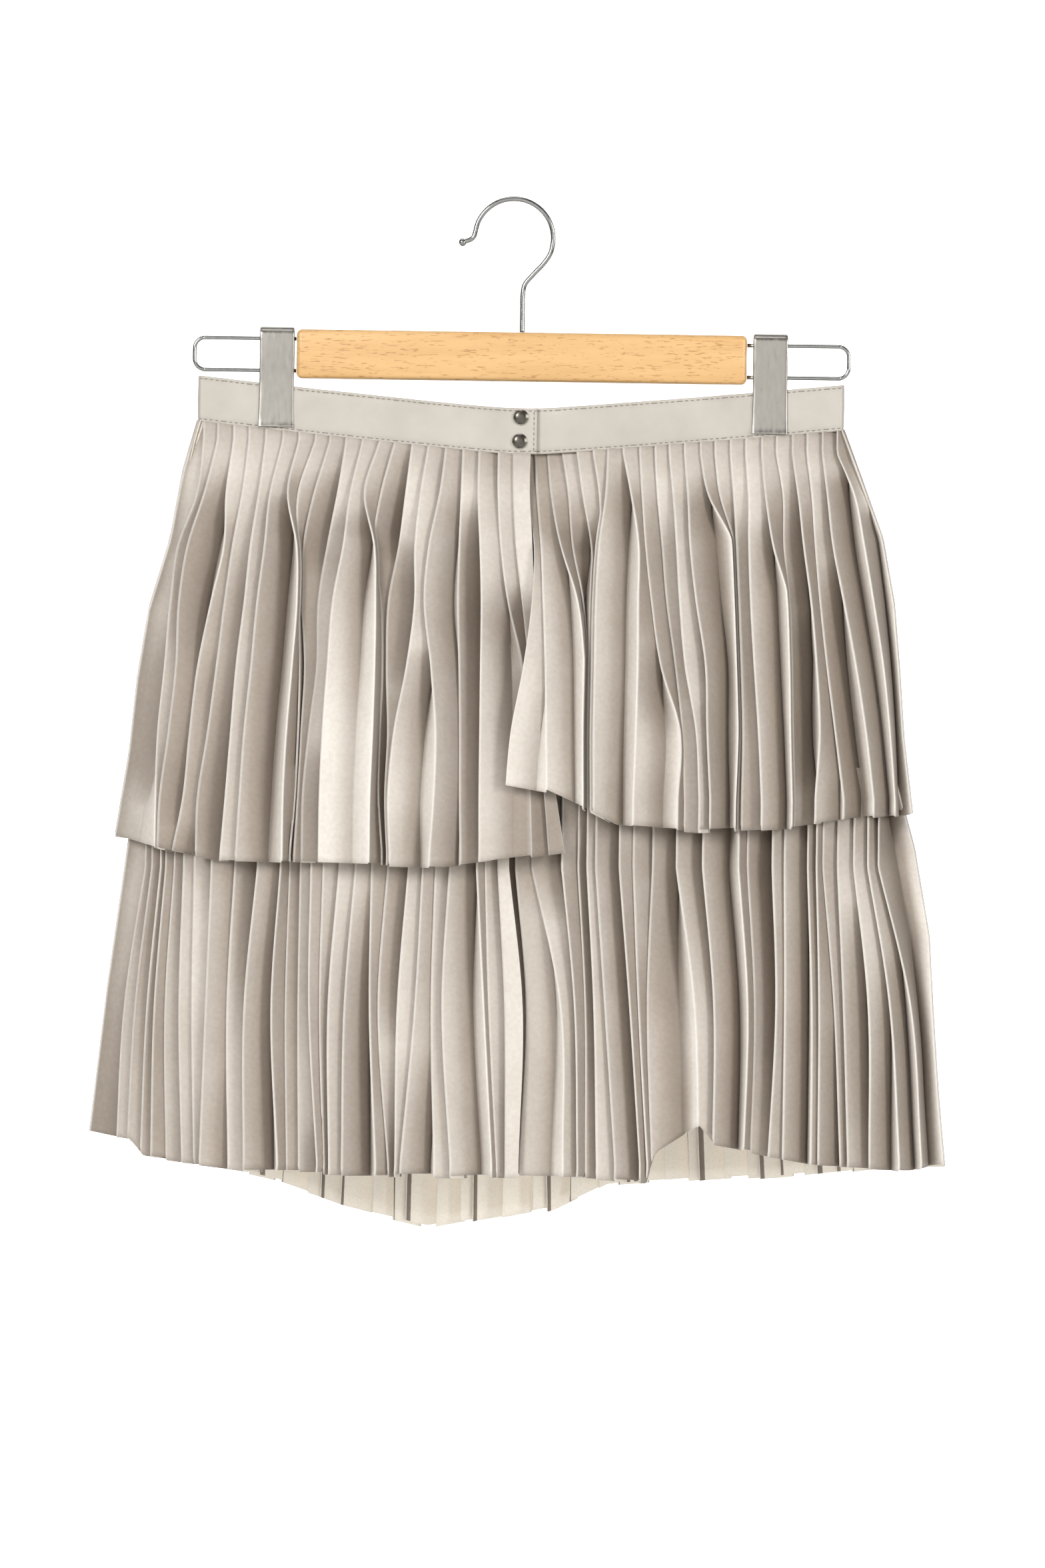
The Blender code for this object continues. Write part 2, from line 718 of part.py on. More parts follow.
def build_clip_springs(material, collection):
    """The rolled spring inside each clip, which rides on the loop's upper wire."""
    half_length = CLIP_SIZE[0] / 2 - CLIP_SPRING_INSET
    inner = LOOP_WIRE / 2 + SEAM_GAP
    profile = (
        (inner, half_length), (CLIP_SPRING_RADIUS, half_length),
        (CLIP_SPRING_RADIUS, -half_length), (inner, -half_length),
    )
    for side, centre in CLIP_CENTRES.items():
        spring = turned_object(f"clip_spring_{side}", profile, True, material, collection)
        spring.rotation_euler.y = math.radians(90.0)
        spring.location = ((BODY_X + centre) * MM, 0.0, -LOOP_DROPS[0] * MM)


def build_tiers(leather, collection):
    build_front_tier(
        "upper_tier_front_left", UPPER_LEFT_FOLDS, UPPER_LEFT_HEM, UPPER_LEVELS, UPPER_STATIONS,
        UPPER_SECTIONS, True, {"top": (-178.0, 6.5), "seam": "start"}, left_under_right, leather, collection,
    )
    build_front_tier(
        "upper_tier_front_right", UPPER_RIGHT_FOLDS, UPPER_RIGHT_HEM, UPPER_LEVELS, UPPER_STATIONS,
        UPPER_SECTIONS, True, {"top": (-1.5, 178.5), "seam": "end"}, right_under_left, leather, collection,
    )
    build_back_tier(
        "upper_tier_back", BACK_PLEATS["upper"], UPPER_BACK_HEM, UPPER_LEVELS, UPPER_SECTIONS, True,
        leather, collection,
    )
    build_front_tier(
        "lower_tier_front_left", LOWER_LEFT_FOLDS, LOWER_LEFT_HEM, LOWER_LEVELS, LOWER_STATIONS,
        LOWER_SECTIONS, False, {"top": (0.0, 0.0), "seam": "start"}, no_shift, leather, collection,
    )
    build_front_tier(
        "lower_tier_front_right", LOWER_RIGHT_FOLDS, LOWER_RIGHT_HEM, LOWER_LEVELS, LOWER_STATIONS,
        LOWER_SECTIONS, False, {"top": (0.0, 0.0), "seam": "end"}, lower_right_under, leather, collection,
    )
    build_back_tier(
        "lower_tier_back", BACK_PLEATS["lower"], LOWER_BACK_HEM, LOWER_LEVELS, LOWER_SECTIONS, False,
        leather, collection,
    )


def build_skirt():
    clear_scene()
    collection = make_collection("mini_skirt_on_clip_hanger")
    leather = make_material("pleated_leather", LEATHER, 0.42)
    band = make_material("band_leather", BAND_LEATHER, 0.45)
    lining = make_material("underskirt_cloth", LINING_CLOTH, 0.8)
    beech = make_material("beech", BEECH, 0.45)
    chrome = make_material("chrome_wire", CHROME, 0.12, 1.0)
    steel = make_material("clip_steel", CLIP_STEEL, 0.35, 1.0)
    gunmetal = make_material("gunmetal", GUNMETAL, 0.25, 1.0)
    build_waistband(band, collection)
    build_tiers(leather, collection)
    build_underskirt(lining, collection)
    build_snaps(gunmetal, collection)
    build_bar(beech, collection)
    build_hook(chrome, collection)
    build_loops(chrome, collection)
    build_clips(steel, collection)
    build_clip_springs(steel, collection)


build_skirt()
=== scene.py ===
import math
import random

import bmesh
import bpy
import numpy as np
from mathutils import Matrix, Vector


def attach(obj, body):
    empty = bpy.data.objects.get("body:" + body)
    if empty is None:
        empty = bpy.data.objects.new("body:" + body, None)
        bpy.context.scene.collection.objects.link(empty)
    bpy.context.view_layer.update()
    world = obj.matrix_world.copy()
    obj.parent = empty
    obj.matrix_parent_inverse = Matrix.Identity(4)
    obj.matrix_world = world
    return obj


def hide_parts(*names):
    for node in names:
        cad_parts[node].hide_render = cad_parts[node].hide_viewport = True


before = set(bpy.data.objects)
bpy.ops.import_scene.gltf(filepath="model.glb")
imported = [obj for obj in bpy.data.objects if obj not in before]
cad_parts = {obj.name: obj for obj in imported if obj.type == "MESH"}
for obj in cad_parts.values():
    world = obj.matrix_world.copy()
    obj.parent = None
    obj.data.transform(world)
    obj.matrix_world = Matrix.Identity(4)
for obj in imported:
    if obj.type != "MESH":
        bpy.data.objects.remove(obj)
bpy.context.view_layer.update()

mm = 0.001


# small helpers

def ease(value):
    v = min(max(value, 0.0), 1.0)
    return v * v * (3.0 - 2.0 * v)


# pixels per millimetre, the skirt's lean, the photograph's middle, and the pixel of x and drop 0
photo = dict(scale=2.65, lean=0.01484, middle=(784, 1176), zero=(773.5, 301.7))


def fromPhoto(px, py):
    # a spot of the photograph, in its pixels, as (x, drop); the skirt hangs a little lower on the right
    x = px - (photo["middle"][1] - py) * photo["lean"] - photo["zero"][0]
    drop = py - (px - photo["middle"][0]) * photo["lean"] - photo["zero"][1]
    return x / photo["scale"], drop / photo["scale"]


def hung(x, y, drop):
    # a place on the skirt or hanger, in millimetres, as a point of the scene
    return (x + band["middleX"]) * mm, y * mm, -drop * mm


def besides(items, i):
    # what comes before and after an item, or the item itself at an end
    return items[max(i - 1, 0)], items[min(i + 1, len(items) - 1)]


def circle(steps):
    return [(math.cos(2 * math.pi * k / steps), math.sin(2 * math.pi * k / steps)) for k in range(steps)]


def readRow(rows, at):
    return float(np.interp(at, [r[0] for r in rows], [r[1] for r in rows]))


def smoothThrough(stations, values, at):
    # a smooth line through a few stations that never overshoots them much
    if at <= stations[0]:
        return float(values[0])
    if at >= stations[-1]:
        return float(values[-1])
    i = int(np.searchsorted(stations, at)) - 1
    w = stations[i + 1] - stations[i]
    slopes = np.gradient(np.array(values, float), np.array(stations, float))
    s = (at - stations[i]) / w
    return float((2 * s**3 - 3 * s**2 + 1) * values[i] + (s**3 - 2 * s**2 + s) * w * slopes[i]
                 + (3 * s**2 - 2 * s**3) * values[i + 1] + (s**3 - s**2) * w * slopes[i + 1])


def place(piece, slot, *nodes):
    # every piece rides on the one body, and may stand in for nodes of the frame
    if nodes:
        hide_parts(*nodes)
    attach(piece, "root")
    return piece


def newObject(name, mesh, *materials):
    piece = bpy.data.objects.new(name, mesh)
    bpy.context.scene.collection.objects.link(piece)
    for material in materials:
        mesh.materials.append(material)
    return piece


def newPiece(name, points, faces, *materials):
    mesh = bpy.data.meshes.new(name)
    mesh.from_pydata(points, [], faces)
    mesh.polygons.foreach_set("use_smooth", [True] * len(faces))
    return newObject(name, mesh, *materials)


def gridFaces(rows, width, wrap=False, flip=False):
    # four-sided faces between rows of points, joined at the ends of the rows if they wrap round
    faces = []
    for r in range(rows - 1):
        for k in range(width if wrap else width - 1):
            a, b = r * width + k, r * width + (k + 1) % width
            faces.append((a, b, b + width, a + width) if flip else (a, a + width, b + width, b))
    return faces


# materials

def startMaterial(name):
    material = bpy.data.materials.new(name)
    material.use_nodes = True
    tree = material.node_tree
    shader = tree.nodes["Principled BSDF"]
    return material, tree, shader


def addNode(tree, kind, **inputs):
    node = tree.nodes.new(kind)
    for key, value in inputs.items():
        if key in node.inputs:
            node.inputs[key].default_value = value
        else:
            setattr(node, key, value)
    return node


def noiseAt(tree, scale, detail=3.0, stretch=(1, 1, 1), roughness=0.55):
    coords = addNode(tree, "ShaderNodeTexCoord")
    spread = addNode(tree, "ShaderNodeMapping")
    spread.inputs["Scale"].default_value = stretch
    noise = addNode(tree, "ShaderNodeTexNoise", Scale=scale, Detail=detail, Roughness=roughness)
    tree.links.new(coords.outputs["Object"], spread.inputs["Vector"])
    tree.links.new(spread.outputs["Vector"], noise.inputs["Vector"])
    return noise.outputs["Fac"]


def ramp(tree, source, stops):
    node = tree.nodes.new("ShaderNodeValToRGB")
    tree.links.new(source, node.inputs["Fac"])
    first, last = node.color_ramp.elements
    first.position, first.color = stops[0][0], (*stops[0][1], 1)
    last.position, last.color = stops[-1][0], (*stops[-1][1], 1)
    for position, colour in stops[1:-1]:
        node.color_ramp.elements.new(position).color = (*colour, 1)
    return node.outputs["Color"]


def blendColours(tree, kind, amount, first, second):
    node = tree.nodes.new("ShaderNodeMix")
    node.data_type = "RGBA"
    node.blend_type = kind
    sockets = [s for s in node.inputs if s.enabled]
    for socket, value in zip(sockets, (amount, first, second)):
        if isinstance(value, (int, float)):
            socket.default_value = value
        elif isinstance(value, tuple):
            socket.default_value = (*value, 1)
        else:
            tree.links.new(value, socket)
    return [s for s in node.outputs if s.enabled][0]


def setSockets(shader, *pairs):
    for name, value in pairs:
        shader.inputs[name].default_value = value


def tint(tree, shader, source, dark, light):
    tree.links.new(ramp(tree, source, ((0.3, dark), (0.7, light))), shader.inputs["Base Color"])


def mathNode(tree, operation, first, second):
    node = tree.nodes.new("ShaderNodeMath")
    node.operation = operation
    for socket, value in zip(node.inputs, (first, second)):
        if isinstance(value, (int, float)):
            socket.default_value = value
        else:
            tree.links.new(value, socket)
    return node.outputs[0]


def bumpFrom(tree, shader, layers):
    # layers of (height, distance in mm, strength), each laid over the one before
    before = None
    for height, distance, strength in layers:
        bump = tree.nodes.new("ShaderNodeBump")
        setSockets(bump, ("Distance", distance * mm), ("Strength", strength))
        tree.links.new(height, bump.inputs["Height"])
        if before:
            tree.links.new(before, bump.inputs["Normal"])
        before = bump.outputs["Normal"]
    tree.links.new(before, shader.inputs["Normal"])


leather = dict(
    # ridge is a painted highlight along each fold's edge and valley a painted shade deep in each pleat;
    # markShare sets how strongly both are painted
    light=(0.72, 0.67, 0.61), dark=(0.66, 0.61, 0.55), ridge=(0.88, 0.86, 0.82), valley=(0.20, 0.165, 0.13),
    markShare=0.4, grainScale=1500.0, grainHeight=0.05, wrinkleScale=160.0, wrinkleHeight=0.16,
    # each pleat's own tone, and the soft shading between pleats
    shades=(("pleatTone", ((0.0, (0.93, 0.92, 0.91)), (1.0, (1.04, 1.04, 1.04)))),
            ("pleatShade", ((0.0, (0.23, 0.19, 0.155)), (0.5, (0.52, 0.485, 0.455)), (1.0, (1, 1, 1))))),
)


def makePleatLeather(name, tone):
    material, tree, shader = startMaterial(name)
    cloud = noiseAt(tree, 26.0, 4.0)
    colour = ramp(tree, cloud, ((0.3, tone["dark"]), (0.7, tone["light"])))
    mottled = noiseAt(tree, 420.0, 5.0)
    speckle = ramp(tree, mottled, ((0.35, (0.90, 0.89, 0.88)), (0.65, (1.0, 1.0, 1.0))))
    colour = blendColours(tree, "MULTIPLY", 0.8, colour, speckle)
    # each pleat's own random tone, then the painted shade of pleatShade between and under the pleats
    for label, stops in tone["shades"]:
        mark = addNode(tree, "ShaderNodeAttribute", attribute_name=label)
        colour = blendColours(tree, "MULTIPLY", 1.0, colour, ramp(tree, mark.outputs["Fac"], stops))
    # painted highlight along the ridges and painted shade towards the valleys
    for label in ("valley", "ridge"):
        mark = addNode(tree, "ShaderNodeAttribute", attribute_name=label)
        amount = mathNode(tree, "MULTIPLY", mark.outputs["Fac"], tone["markShare"])
        colour = blendColours(tree, "MIX", amount, colour, tone[label])
    tree.links.new(colour, shader.inputs["Base Color"])
    gloss = ramp(tree, noiseAt(tree, 60.0, 3.0), ((0.3, (0.36,) * 3), (0.7, (0.5,) * 3)))
    tree.links.new(gloss, shader.inputs["Roughness"])
    setSockets(shader, ("Specular IOR Level", 0.22), ("Sheen Weight", 0.12), ("Sheen Roughness", 0.4))
    grain = noiseAt(tree, tone["grainScale"], 4.0, roughness=0.6)
    wrinkle = noiseAt(tree, tone["wrinkleScale"], 4.0, (1.0, 1.0, 0.55))
    bumpFrom(tree, shader, ((wrinkle, tone["wrinkleHeight"], 0.5), (grain, tone["grainHeight"], 0.6)))
    return material


def makeSuede(name, colour, darker, glow=0.0):
    # the leather's soft underside and its cut edges; glow is painted light, an even emission standing in for
    # the light that comes through the thin skin
    material, tree, shader = startMaterial(name)
    nap = noiseAt(tree, 900.0, 5.0)
    tint(tree, shader, nap, darker, colour)
    setSockets(shader, ("Roughness", 0.9), ("Sheen Weight", 0.3), ("Emission Color", (*colour, 1)),
               ("Emission Strength", glow))
    bumpFrom(tree, shader, ((nap, 0.12, 0.7),))
    return material


def makeBandLeather(name):
    material, tree, shader = startMaterial(name)
    cloud = noiseAt(tree, 40.0, 4.0)
    tint(tree, shader, cloud, (0.44, 0.405, 0.355), (0.50, 0.465, 0.415))
    setSockets(shader, ("Roughness", 0.46), ("Sheen Weight", 0.1))
    grain = noiseAt(tree, 1300.0, 4.0)
    wrinkle = noiseAt(tree, 260.0, 4.0)
    bumpFrom(tree, shader, ((wrinkle, 0.1, 0.5), (grain, 0.05, 0.6)))
    return material


def makeThread(name):
    material, tree, shader = startMaterial(name)
    twist = noiseAt(tree, 2500.0, 2.0)
    tint(tree, shader, twist, (0.19, 0.165, 0.13), (0.30, 0.27, 0.22))
    setSockets(shader, ("Roughness", 0.7), ("Sheen Weight", 0.3))
    bumpFrom(tree, shader, ((twist, 0.05, 0.6),))
    return material


def makeCloth(name):
    # plain woven underskirt, about two threads to the millimetre
    material, tree, shader = startMaterial(name)
    coords = addNode(tree, "ShaderNodeTexCoord")
    across = addNode(tree, "ShaderNodeTexWave", wave_type="BANDS", bands_direction="X")
    along = addNode(tree, "ShaderNodeTexWave", wave_type="BANDS", bands_direction="Z")
    for wave in (across, along):
        setSockets(wave, ("Scale", 320.0), ("Distortion", 0.6))
        tree.links.new(coords.outputs["Object"], wave.inputs["Vector"])
    weave = mathNode(tree, "MULTIPLY", across.outputs["Fac"], along.outputs["Fac"])
    cloud = noiseAt(tree, 300.0, 4.0)
    tint(tree, shader, cloud, (0.16, 0.13, 0.105), (0.24, 0.205, 0.17))
    setSockets(shader, ("Roughness", 0.85), ("Sheen Weight", 0.25))
    bumpFrom(tree, shader, ((weave, 0.1, 0.7),))
    return material


def makeBeech(name):
    material, tree, shader = startMaterial(name)
    rings = noiseAt(tree, 30.0, 5.0, (0.35, 1.0, 4.0), 0.6)
    colour = ramp(tree, rings, ((0.25, (0.58, 0.335, 0.125)), (0.5, (0.66, 0.40, 0.165)),
                                (0.75, (0.72, 0.46, 0.205))))
    fleck = noiseAt(tree, 600.0, 2.0, (0.3, 1.0, 2.0))
    fleck = ramp(tree, fleck, ((0.34, (0.62, 0.48, 0.36)), (0.41, (1, 1, 1))))
    colour = blendColours(tree, "MULTIPLY", 0.7, colour, fleck)
    tree.links.new(colour, shader.inputs["Base Color"])
    setSockets(shader, ("Roughness", 0.42), ("Coat Weight", 0.25), ("Coat Roughness", 0.3))
    bumpFrom(tree, shader, ((rings, 0.05, 0.3),))
    return material


def makeMetal(name, dark, light, roughness, scratch=(1, 1, 1)):
    material, tree, shader = startMaterial(name)
    wear = noiseAt(tree, 500.0, 3.0, scratch)
    tint(tree, shader, wear, dark, light)
    shader.inputs["Metallic"].default_value = 1.0
    spread = ramp(tree, wear, ((0.3, (roughness * 0.8,) * 3), (0.7, (roughness * 1.25,) * 3)))
    tree.links.new(spread, shader.inputs["Roughness"])
    bumpFrom(tree, shader, ((wear, 0.01, 0.3),))
    return material


pleatLeather = makePleatLeather("pleatedLeather", leather)
suedeSide = makeSuede("leatherUnderside", (0.76, 0.71, 0.63), (0.62, 0.56, 0.48))
# a lit copy of the underside: its paler colour and its glow are painted light
suedeLit = makeSuede("leatherUndersideLit", (0.90, 0.84, 0.74), (0.80, 0.73, 0.63), glow=0.16)
rawEdge = makeSuede("leatherCutEdge", (0.80, 0.76, 0.70), (0.60, 0.54, 0.47))
bandLeather = makeBandLeather("bandLeather")
threadColour = makeThread("bandThread")
liningCloth = makeCloth("underskirtCloth")
beechWood = makeBeech("beechWood")
chromeWire = makeMetal("chromeWire", (0.30, 0.30, 0.29), (0.36, 0.36, 0.35), 0.22)
clipSteel = makeMetal("clipSteel", (0.36, 0.34, 0.305), (0.40, 0.38, 0.345), 0.34, (1.0, 1.0, 0.3))
gunmetal = makeMetal("snapGunmetal", (0.10, 0.09, 0.075), (0.15, 0.137, 0.115), 0.3)
snapRim = makeMetal("snapRim", (0.42, 0.39, 0.34), (0.55, 0.52, 0.46), 0.25)
# the dark ring in the gap round each wire: bare wood inside the drilled hole, darkened with painted shade for
# the hole's depth
holeWoodAndShade = makeSuede("drilledHoleWoodAndShade", (0.42, 0.25, 0.11), (0.30, 0.17, 0.07))
print("materials ready")


# the skirt's body: how wide and deep it hangs

band = dict(half=183.0, top=101.3, sag=16.5, rounding=0.12, height=26.0, wall=2.0, flatDepth=2.35,
            corner=1.5, bulge=12.0, clipSpan=128.5, leftEnd=9.3, rightEnd=-24.0, underlap=2.4, middleX=5.4)


def bandTopDrop(x):
    u = min(abs(x) / band["half"], 1.0)
    e = band["rounding"]
    return band["top"] + band["sag"] * (1.0 - (math.hypot(u, e) - e) / (math.hypot(1.0, e) - e))


def bandDepth(x):
    v = min(abs(x) / band["clipSpan"], 1.0)
    depth = band["flatDepth"] + band["bulge"] * (1.0 - v * v) ** 1.5
    end = min(max((band["half"] - abs(x)) / band["corner"], 0.0), 1.0)
    return 0.15 + (depth - 0.15) * end


# share of the tier's height, half width left, half width right, half depth
upperBody = ((0.00, 183.0, 183.0, 13.0), (0.12, 191.0, 193.0, 22.0), (0.28, 197.5, 206.0, 31.0),
             (0.45, 209.0, 213.0, 39.0), (0.62, 215.0, 216.5, 46.0), (0.80, 219.0, 219.5, 51.0),
             (1.00, 226.0, 225.0, 55.0))
lowerBody = ((0.00, 212.0, 214.0, 35.0), (0.20, 218.0, 226.5, 40.0), (0.42, 224.0, 235.5, 44.0),
             (0.62, 229.5, 238.5, 48.0), (0.82, 234.0, 242.0, 51.0), (1.00, 238.0, 246.0, 53.0))


def bodyValue(sections, share, column):
    return float(np.interp(share, [s[0] for s in sections], [s[column] for s in sections]))


def bodyDepth(sections, share, x, fromBand):
    half = bodyValue(sections, share, 1 if x < 0 else 2)
    u = min(abs(x) / half, 1.0)
    depth = bodyValue(sections, share, 3) * (1.0 - u**2.5) ** (1.0 / 2.5)
    if fromBand:
        atBand = bandDepth(x * band["half"] / half)
        depth = atBand + (depth - atBand) * ease(share / 0.2)
    return max(depth, 0.15)


# pleats

pleat = dict(longFace=19.0, shortFace=9.5, layer=1.7, deepest=9.4, bow=0.7, wall=0.6,
             rows=62, backRows=34, slack=2.2, shadeDepth=10.5, cavityShade=0.74, turnShade=0.58,
             shadeLift=1.12, topShade=0.28, hemStep=2.4, tones=200, nearSide=0.8, nearReach=0.16,
             leastGap=1.5, leastDepth=0.6, seamInset=1.0)


def openness(pitch):
    # how far along and how deep a pleat's valley lies from its fold, from the lengths of its two faces
    longFace, shortFace = pleat["longFace"], pleat["shortFace"]
    reach = min((longFace**2 - shortFace**2 + pitch**2) / (2 * pitch), longFace)
    openDepth = math.sqrt(max(longFace**2 - reach**2, 0.0)) if pitch > longFace - shortFace else 0.0
    closedDepth = longFace * math.sin(math.atan(pleat["layer"] / max(pitch, 2.0)))
    depth = math.hypot(openDepth, closedDepth * max(1.0 - openDepth / 9.0, 0.0))
    return min(math.sqrt(max(longFace**2 - depth**2, 1.0)), longFace), depth


def behindLine(point, start, end, inward):
    # how far a point lies behind the line of a face, measured inwards
    along = end - start
    along = along / max(float(np.hypot(*along)), 1e-6)
    square = np.array((-along[1], along[0]))
    if float(square @ inward) < 0:
        square = -square
    return float((point - start) @ square)


def findValleys(ridges, limits):
    # each valley is deep enough to pass behind the next fold, worked out from the last pleat back
    ridges = [np.array(r) for r in ridges]
    count = len(ridges)
    valleys = [None] * (count - 1)
    for i in range(count - 2, -1, -1):
        if limits[i] is None:
            continue
        a, b = ridges[i], ridges[i + 1]
        wide = ridges[min(i + 2, count - 1)] - ridges[max(i - 1, 0)]
        along = wide / np.hypot(*wide)
        inward = np.array((-along[1], along[0]))
        pitch = max(float((b - a) @ along), 1.0)
        wanted, openDepth = openness(pitch)
        room = float((ridges[-1] - a) @ along) - 1.0
        following = float((ridges[min(i + 2, count - 1)] - b) @ along)
        least = pitch * 0.92
        wanted = min(wanted, max(room, least), pitch + 0.85 * max(following, 0.0))
        needed = behindLine(b, a, a + along, inward)
        after = valleys[i + 1] if i + 2 < count else None
        allowed = limits[i] + pleat["slack"]
        for reach in np.linspace(wanted, min(least, wanted), 25):
            depth = min(openDepth, limits[i])
            if reach > pitch:
                depth = max(depth, (needed + pleat["layer"]) * reach / pitch)
                if after is not None:
                    spot = a + along * reach + inward * depth
                    depth += max(pleat["layer"] - behindLine(spot, b, after, inward), 0.0)
            if depth <= allowed and (reach <= pitch or limits[i] > 1.6):
                break
        if reach <= pitch:
            depth = max(min(depth, allowed), needed * reach / pitch + 0.4)
        valleys[i] = a + along * reach + inward * depth
    return valleys


def facePoints(start, end, shares, bow, outward):
    return [start + (end - start) * f + outward * bow * math.sin(math.pi * f) for f in shares]


def foldedLevel(ridges, limits, fine):
    # one level of a pleated panel seen from above, with how much each point is a ridge or a valley, the
    # amounts that paint a highlight on the folds and shade in the valleys
    level = []
    longShares = (0.015, 0.05, 0.2, 0.4, 0.6, 0.8, 0.96) if fine else (0.03, 0.3, 0.7, 0.97)
    shortShares = (0.06, 0.35, 0.75, 0.96) if fine else (0.1, 0.9)
    valleys = findValleys(ridges, limits)
    for i in range(len(ridges) - 1):
        a, b, valley = np.array(ridges[i]), np.array(ridges[i + 1]), valleys[i]
        level.append((a, 1.0, 0.0, i))
        if valley is None:                       # the flat last face beside a cut edge or a seam
            for f in (0.05, 0.3, 0.6, 0.85, 0.97):
                level.append((a + (b - a) * f, 0.0, 0.0, i))
            continue
        side = valley - a
        outward = np.array((side[1], -side[0])) / max(float(np.hypot(*side)), 1e-6)
        # a face bows out only where it is long and there is room beside the short face behind it
        away = abs(behindLine(b, a, valley, outward))
        bow = pleat["bow"] * min(float(np.hypot(*side)) / pleat["longFace"], 1.0) ** 2 * min(away / 4.0, 1.0)
        for f, p in zip(longShares, facePoints(a, valley, longShares, bow, outward)):
            level.append((p, 0.5 if f < 0.03 else 0.0, ease((f - 0.4) / 0.6) * 0.6, i))
        level.append((valley, 0.0, 1.0, i))
        for f, p in zip(shortShares, facePoints(valley, b, shortShares, 0.0, outward)):
            level.append((p, 0.4 if f > 0.95 else 0.0, (1.0 - ease(f / 0.7)) * 0.6, i))
    level.append((np.array(ridges[-1]), 1.0, 0.0, len(ridges) - 1))
    return level


def sewTier(name, levels, panel, inner):
    points, ridges, valleys, numbers, shades = zip(*(entry for level in levels for entry in level))
    piece = newPiece(name, points, gridFaces(len(levels), len(levels[0])), pleatLeather, inner, rawEdge)
    tones = [random.Random(panel["seed"] + n).random() for n in range(pleat["tones"])]
    # ridge and valley carry the painted highlight and shade, pleatShade the painted shade, pleatTone each
    # pleat's random tone
    for label, values in (("ridge", ridges), ("valley", valleys), ("pleatShade", shades),
                          ("pleatTone", [tones[number % pleat["tones"]] for number in numbers])):
        layer = piece.data.attributes.new(label, "FLOAT", "POINT")
        layer.data.foreach_set("value", [float(value) for value in values])
    # the wall grows outwards, so that the layers that meet in a fold don't run through each other
    wall = piece.modifiers.new("Leather", "SOLIDIFY")
    wall.thickness = pleat["wall"] * mm
    wall.offset = 1.0
    wall.material_offset = 1
    wall.material_offset_rim = 2
    return place(piece, "pleated_leather", name)


def pleatShades(level, envelope, outSign):
    # soft shading between pleats: darker the deeper a point lies, and where its face turns away to the right
    shades = []
    for k, (point, *_) in enumerate(level):
        (before, *_), (after, *_) = besides(level, k)
        run = np.array(after) - np.array(before)
        bodyTurn = math.atan((envelope(point[0] - 3.0) - envelope(point[0] + 3.0)) / 6.0)
        if outSign < 0:
            turned = math.sin(math.atan2(float(run[1]), max(float(run[0]), 0.01)) - bodyTurn)
        else:
            turned = 0.25
        behind = max(envelope(point[0]) - outSign * point[1], 0.0)
        cavity = 1.0 - pleat["cavityShade"] * ease(behind / pleat["shadeDepth"])
        facing = 1.0 - pleat["turnShade"] * min(max(turned * 1.8, -0.4), 1.0)
        shades.append(min(max(cavity * facing * pleat["shadeLift"], 0.0), 1.0))
    return shades


def spaced(values, gap, fromEnd):
    ordered = [-v for v in reversed(values)] if fromEnd else list(values)
    for i in range(1, len(ordered)):
        ordered[i] = max(ordered[i], ordered[i - 1] + gap)
    return [-v for v in reversed(ordered)] if fromEnd else ordered


def foldLimit(x, depthHere, slitX):
    limit = min(pleat["deepest"], 0.8 * depthHere + 0.9)
    if slitX is not None:
        limit = min(limit, 3.0 + 0.35 * max(abs(x - slitX) - 12.0, 0.0))
    return limit


def hungLevel(tier, panel, share, folded, outSign):
    # one folded level, set at its height and shaded
    shades = pleatShades(folded, lambda x: bodyDepth(tier["sections"], share, x, tier["fromBand"]), outSign)
    level = []
    for ((x, y), ridge, valley, number), shade in zip(folded, shades):
        drop = tierDrop(tier, panel, x, share) + rawHem(panel, number, share)
        shade *= underTop(tier, share)
        level.append((hung(x, y, drop), ridge, valley, number, shade))
    return level


def buildFrontTier(tier, name, panel):
    # tier holds what both fronts of it share, panel holds one front's own folds
    fromBand, sections = tier["fromBand"], tier["sections"]
    lines = []
    for spots, back in panel["folds"]:
        traced = [fromPhoto(px, py) for px, py in zip(spots, panel["heights"])]
        lines.append(([d for _, d in traced], [x for x, _ in traced], back))
    levels = []
    for r in range(pleat["rows"] + 1):
        share = r / pleat["rows"]
        halves = bodyValue(sections, share, 1), bodyValue(sections, share, 2)
        xs = []
        for drops, across, back in lines:
            x = across[0]
            for _ in range(3):
                drop = tierDrop(tier, panel, x, share)
                x = smoothThrough(drops, across, drop)
            xs.append(x)
        backs = [back for *_, back in lines]
        if panel["seam"] == "left":
            xs, backs = [-halves[0] + pleat["seamInset"]] + xs, [0.0] + backs
        else:
            xs, backs = xs + [halves[1] - pleat["seamInset"]], backs + [0.0]
        xs = spaced(xs, pleat["leastGap"], panel["seam"] == "right")
        ridges, limits = [], []
        for x, back in zip(xs, backs):
            half = halves[0] if x < 0 else halves[1]
            inside = 1.0 - ease((abs(x) / half - pleat["nearSide"]) / pleat["nearReach"])
            settle = back * tier["settle"] * ease(share / 0.3) * inside
            depth = bodyDepth(sections, share, x, fromBand) - settle - panel["under"](x, share)
            ridges.append((x, -max(depth, pleat["leastDepth"])))
            limits.append(foldLimit(x, depth, tier["slitX"]))
        if panel["seam"] == "left":
            ridges = [(-halves[0], -0.1)] + ridges
            limits = [None] + limits[:-2] + [None, None]
        else:
            ridges = ridges + [(halves[1], -0.1)]
            limits = limits[:-1] + [None, None]
        levels.append(hungLevel(tier, panel, share, foldedLevel(ridges, limits, True), -1))
    return sewTier(name, levels, panel, suedeSide)


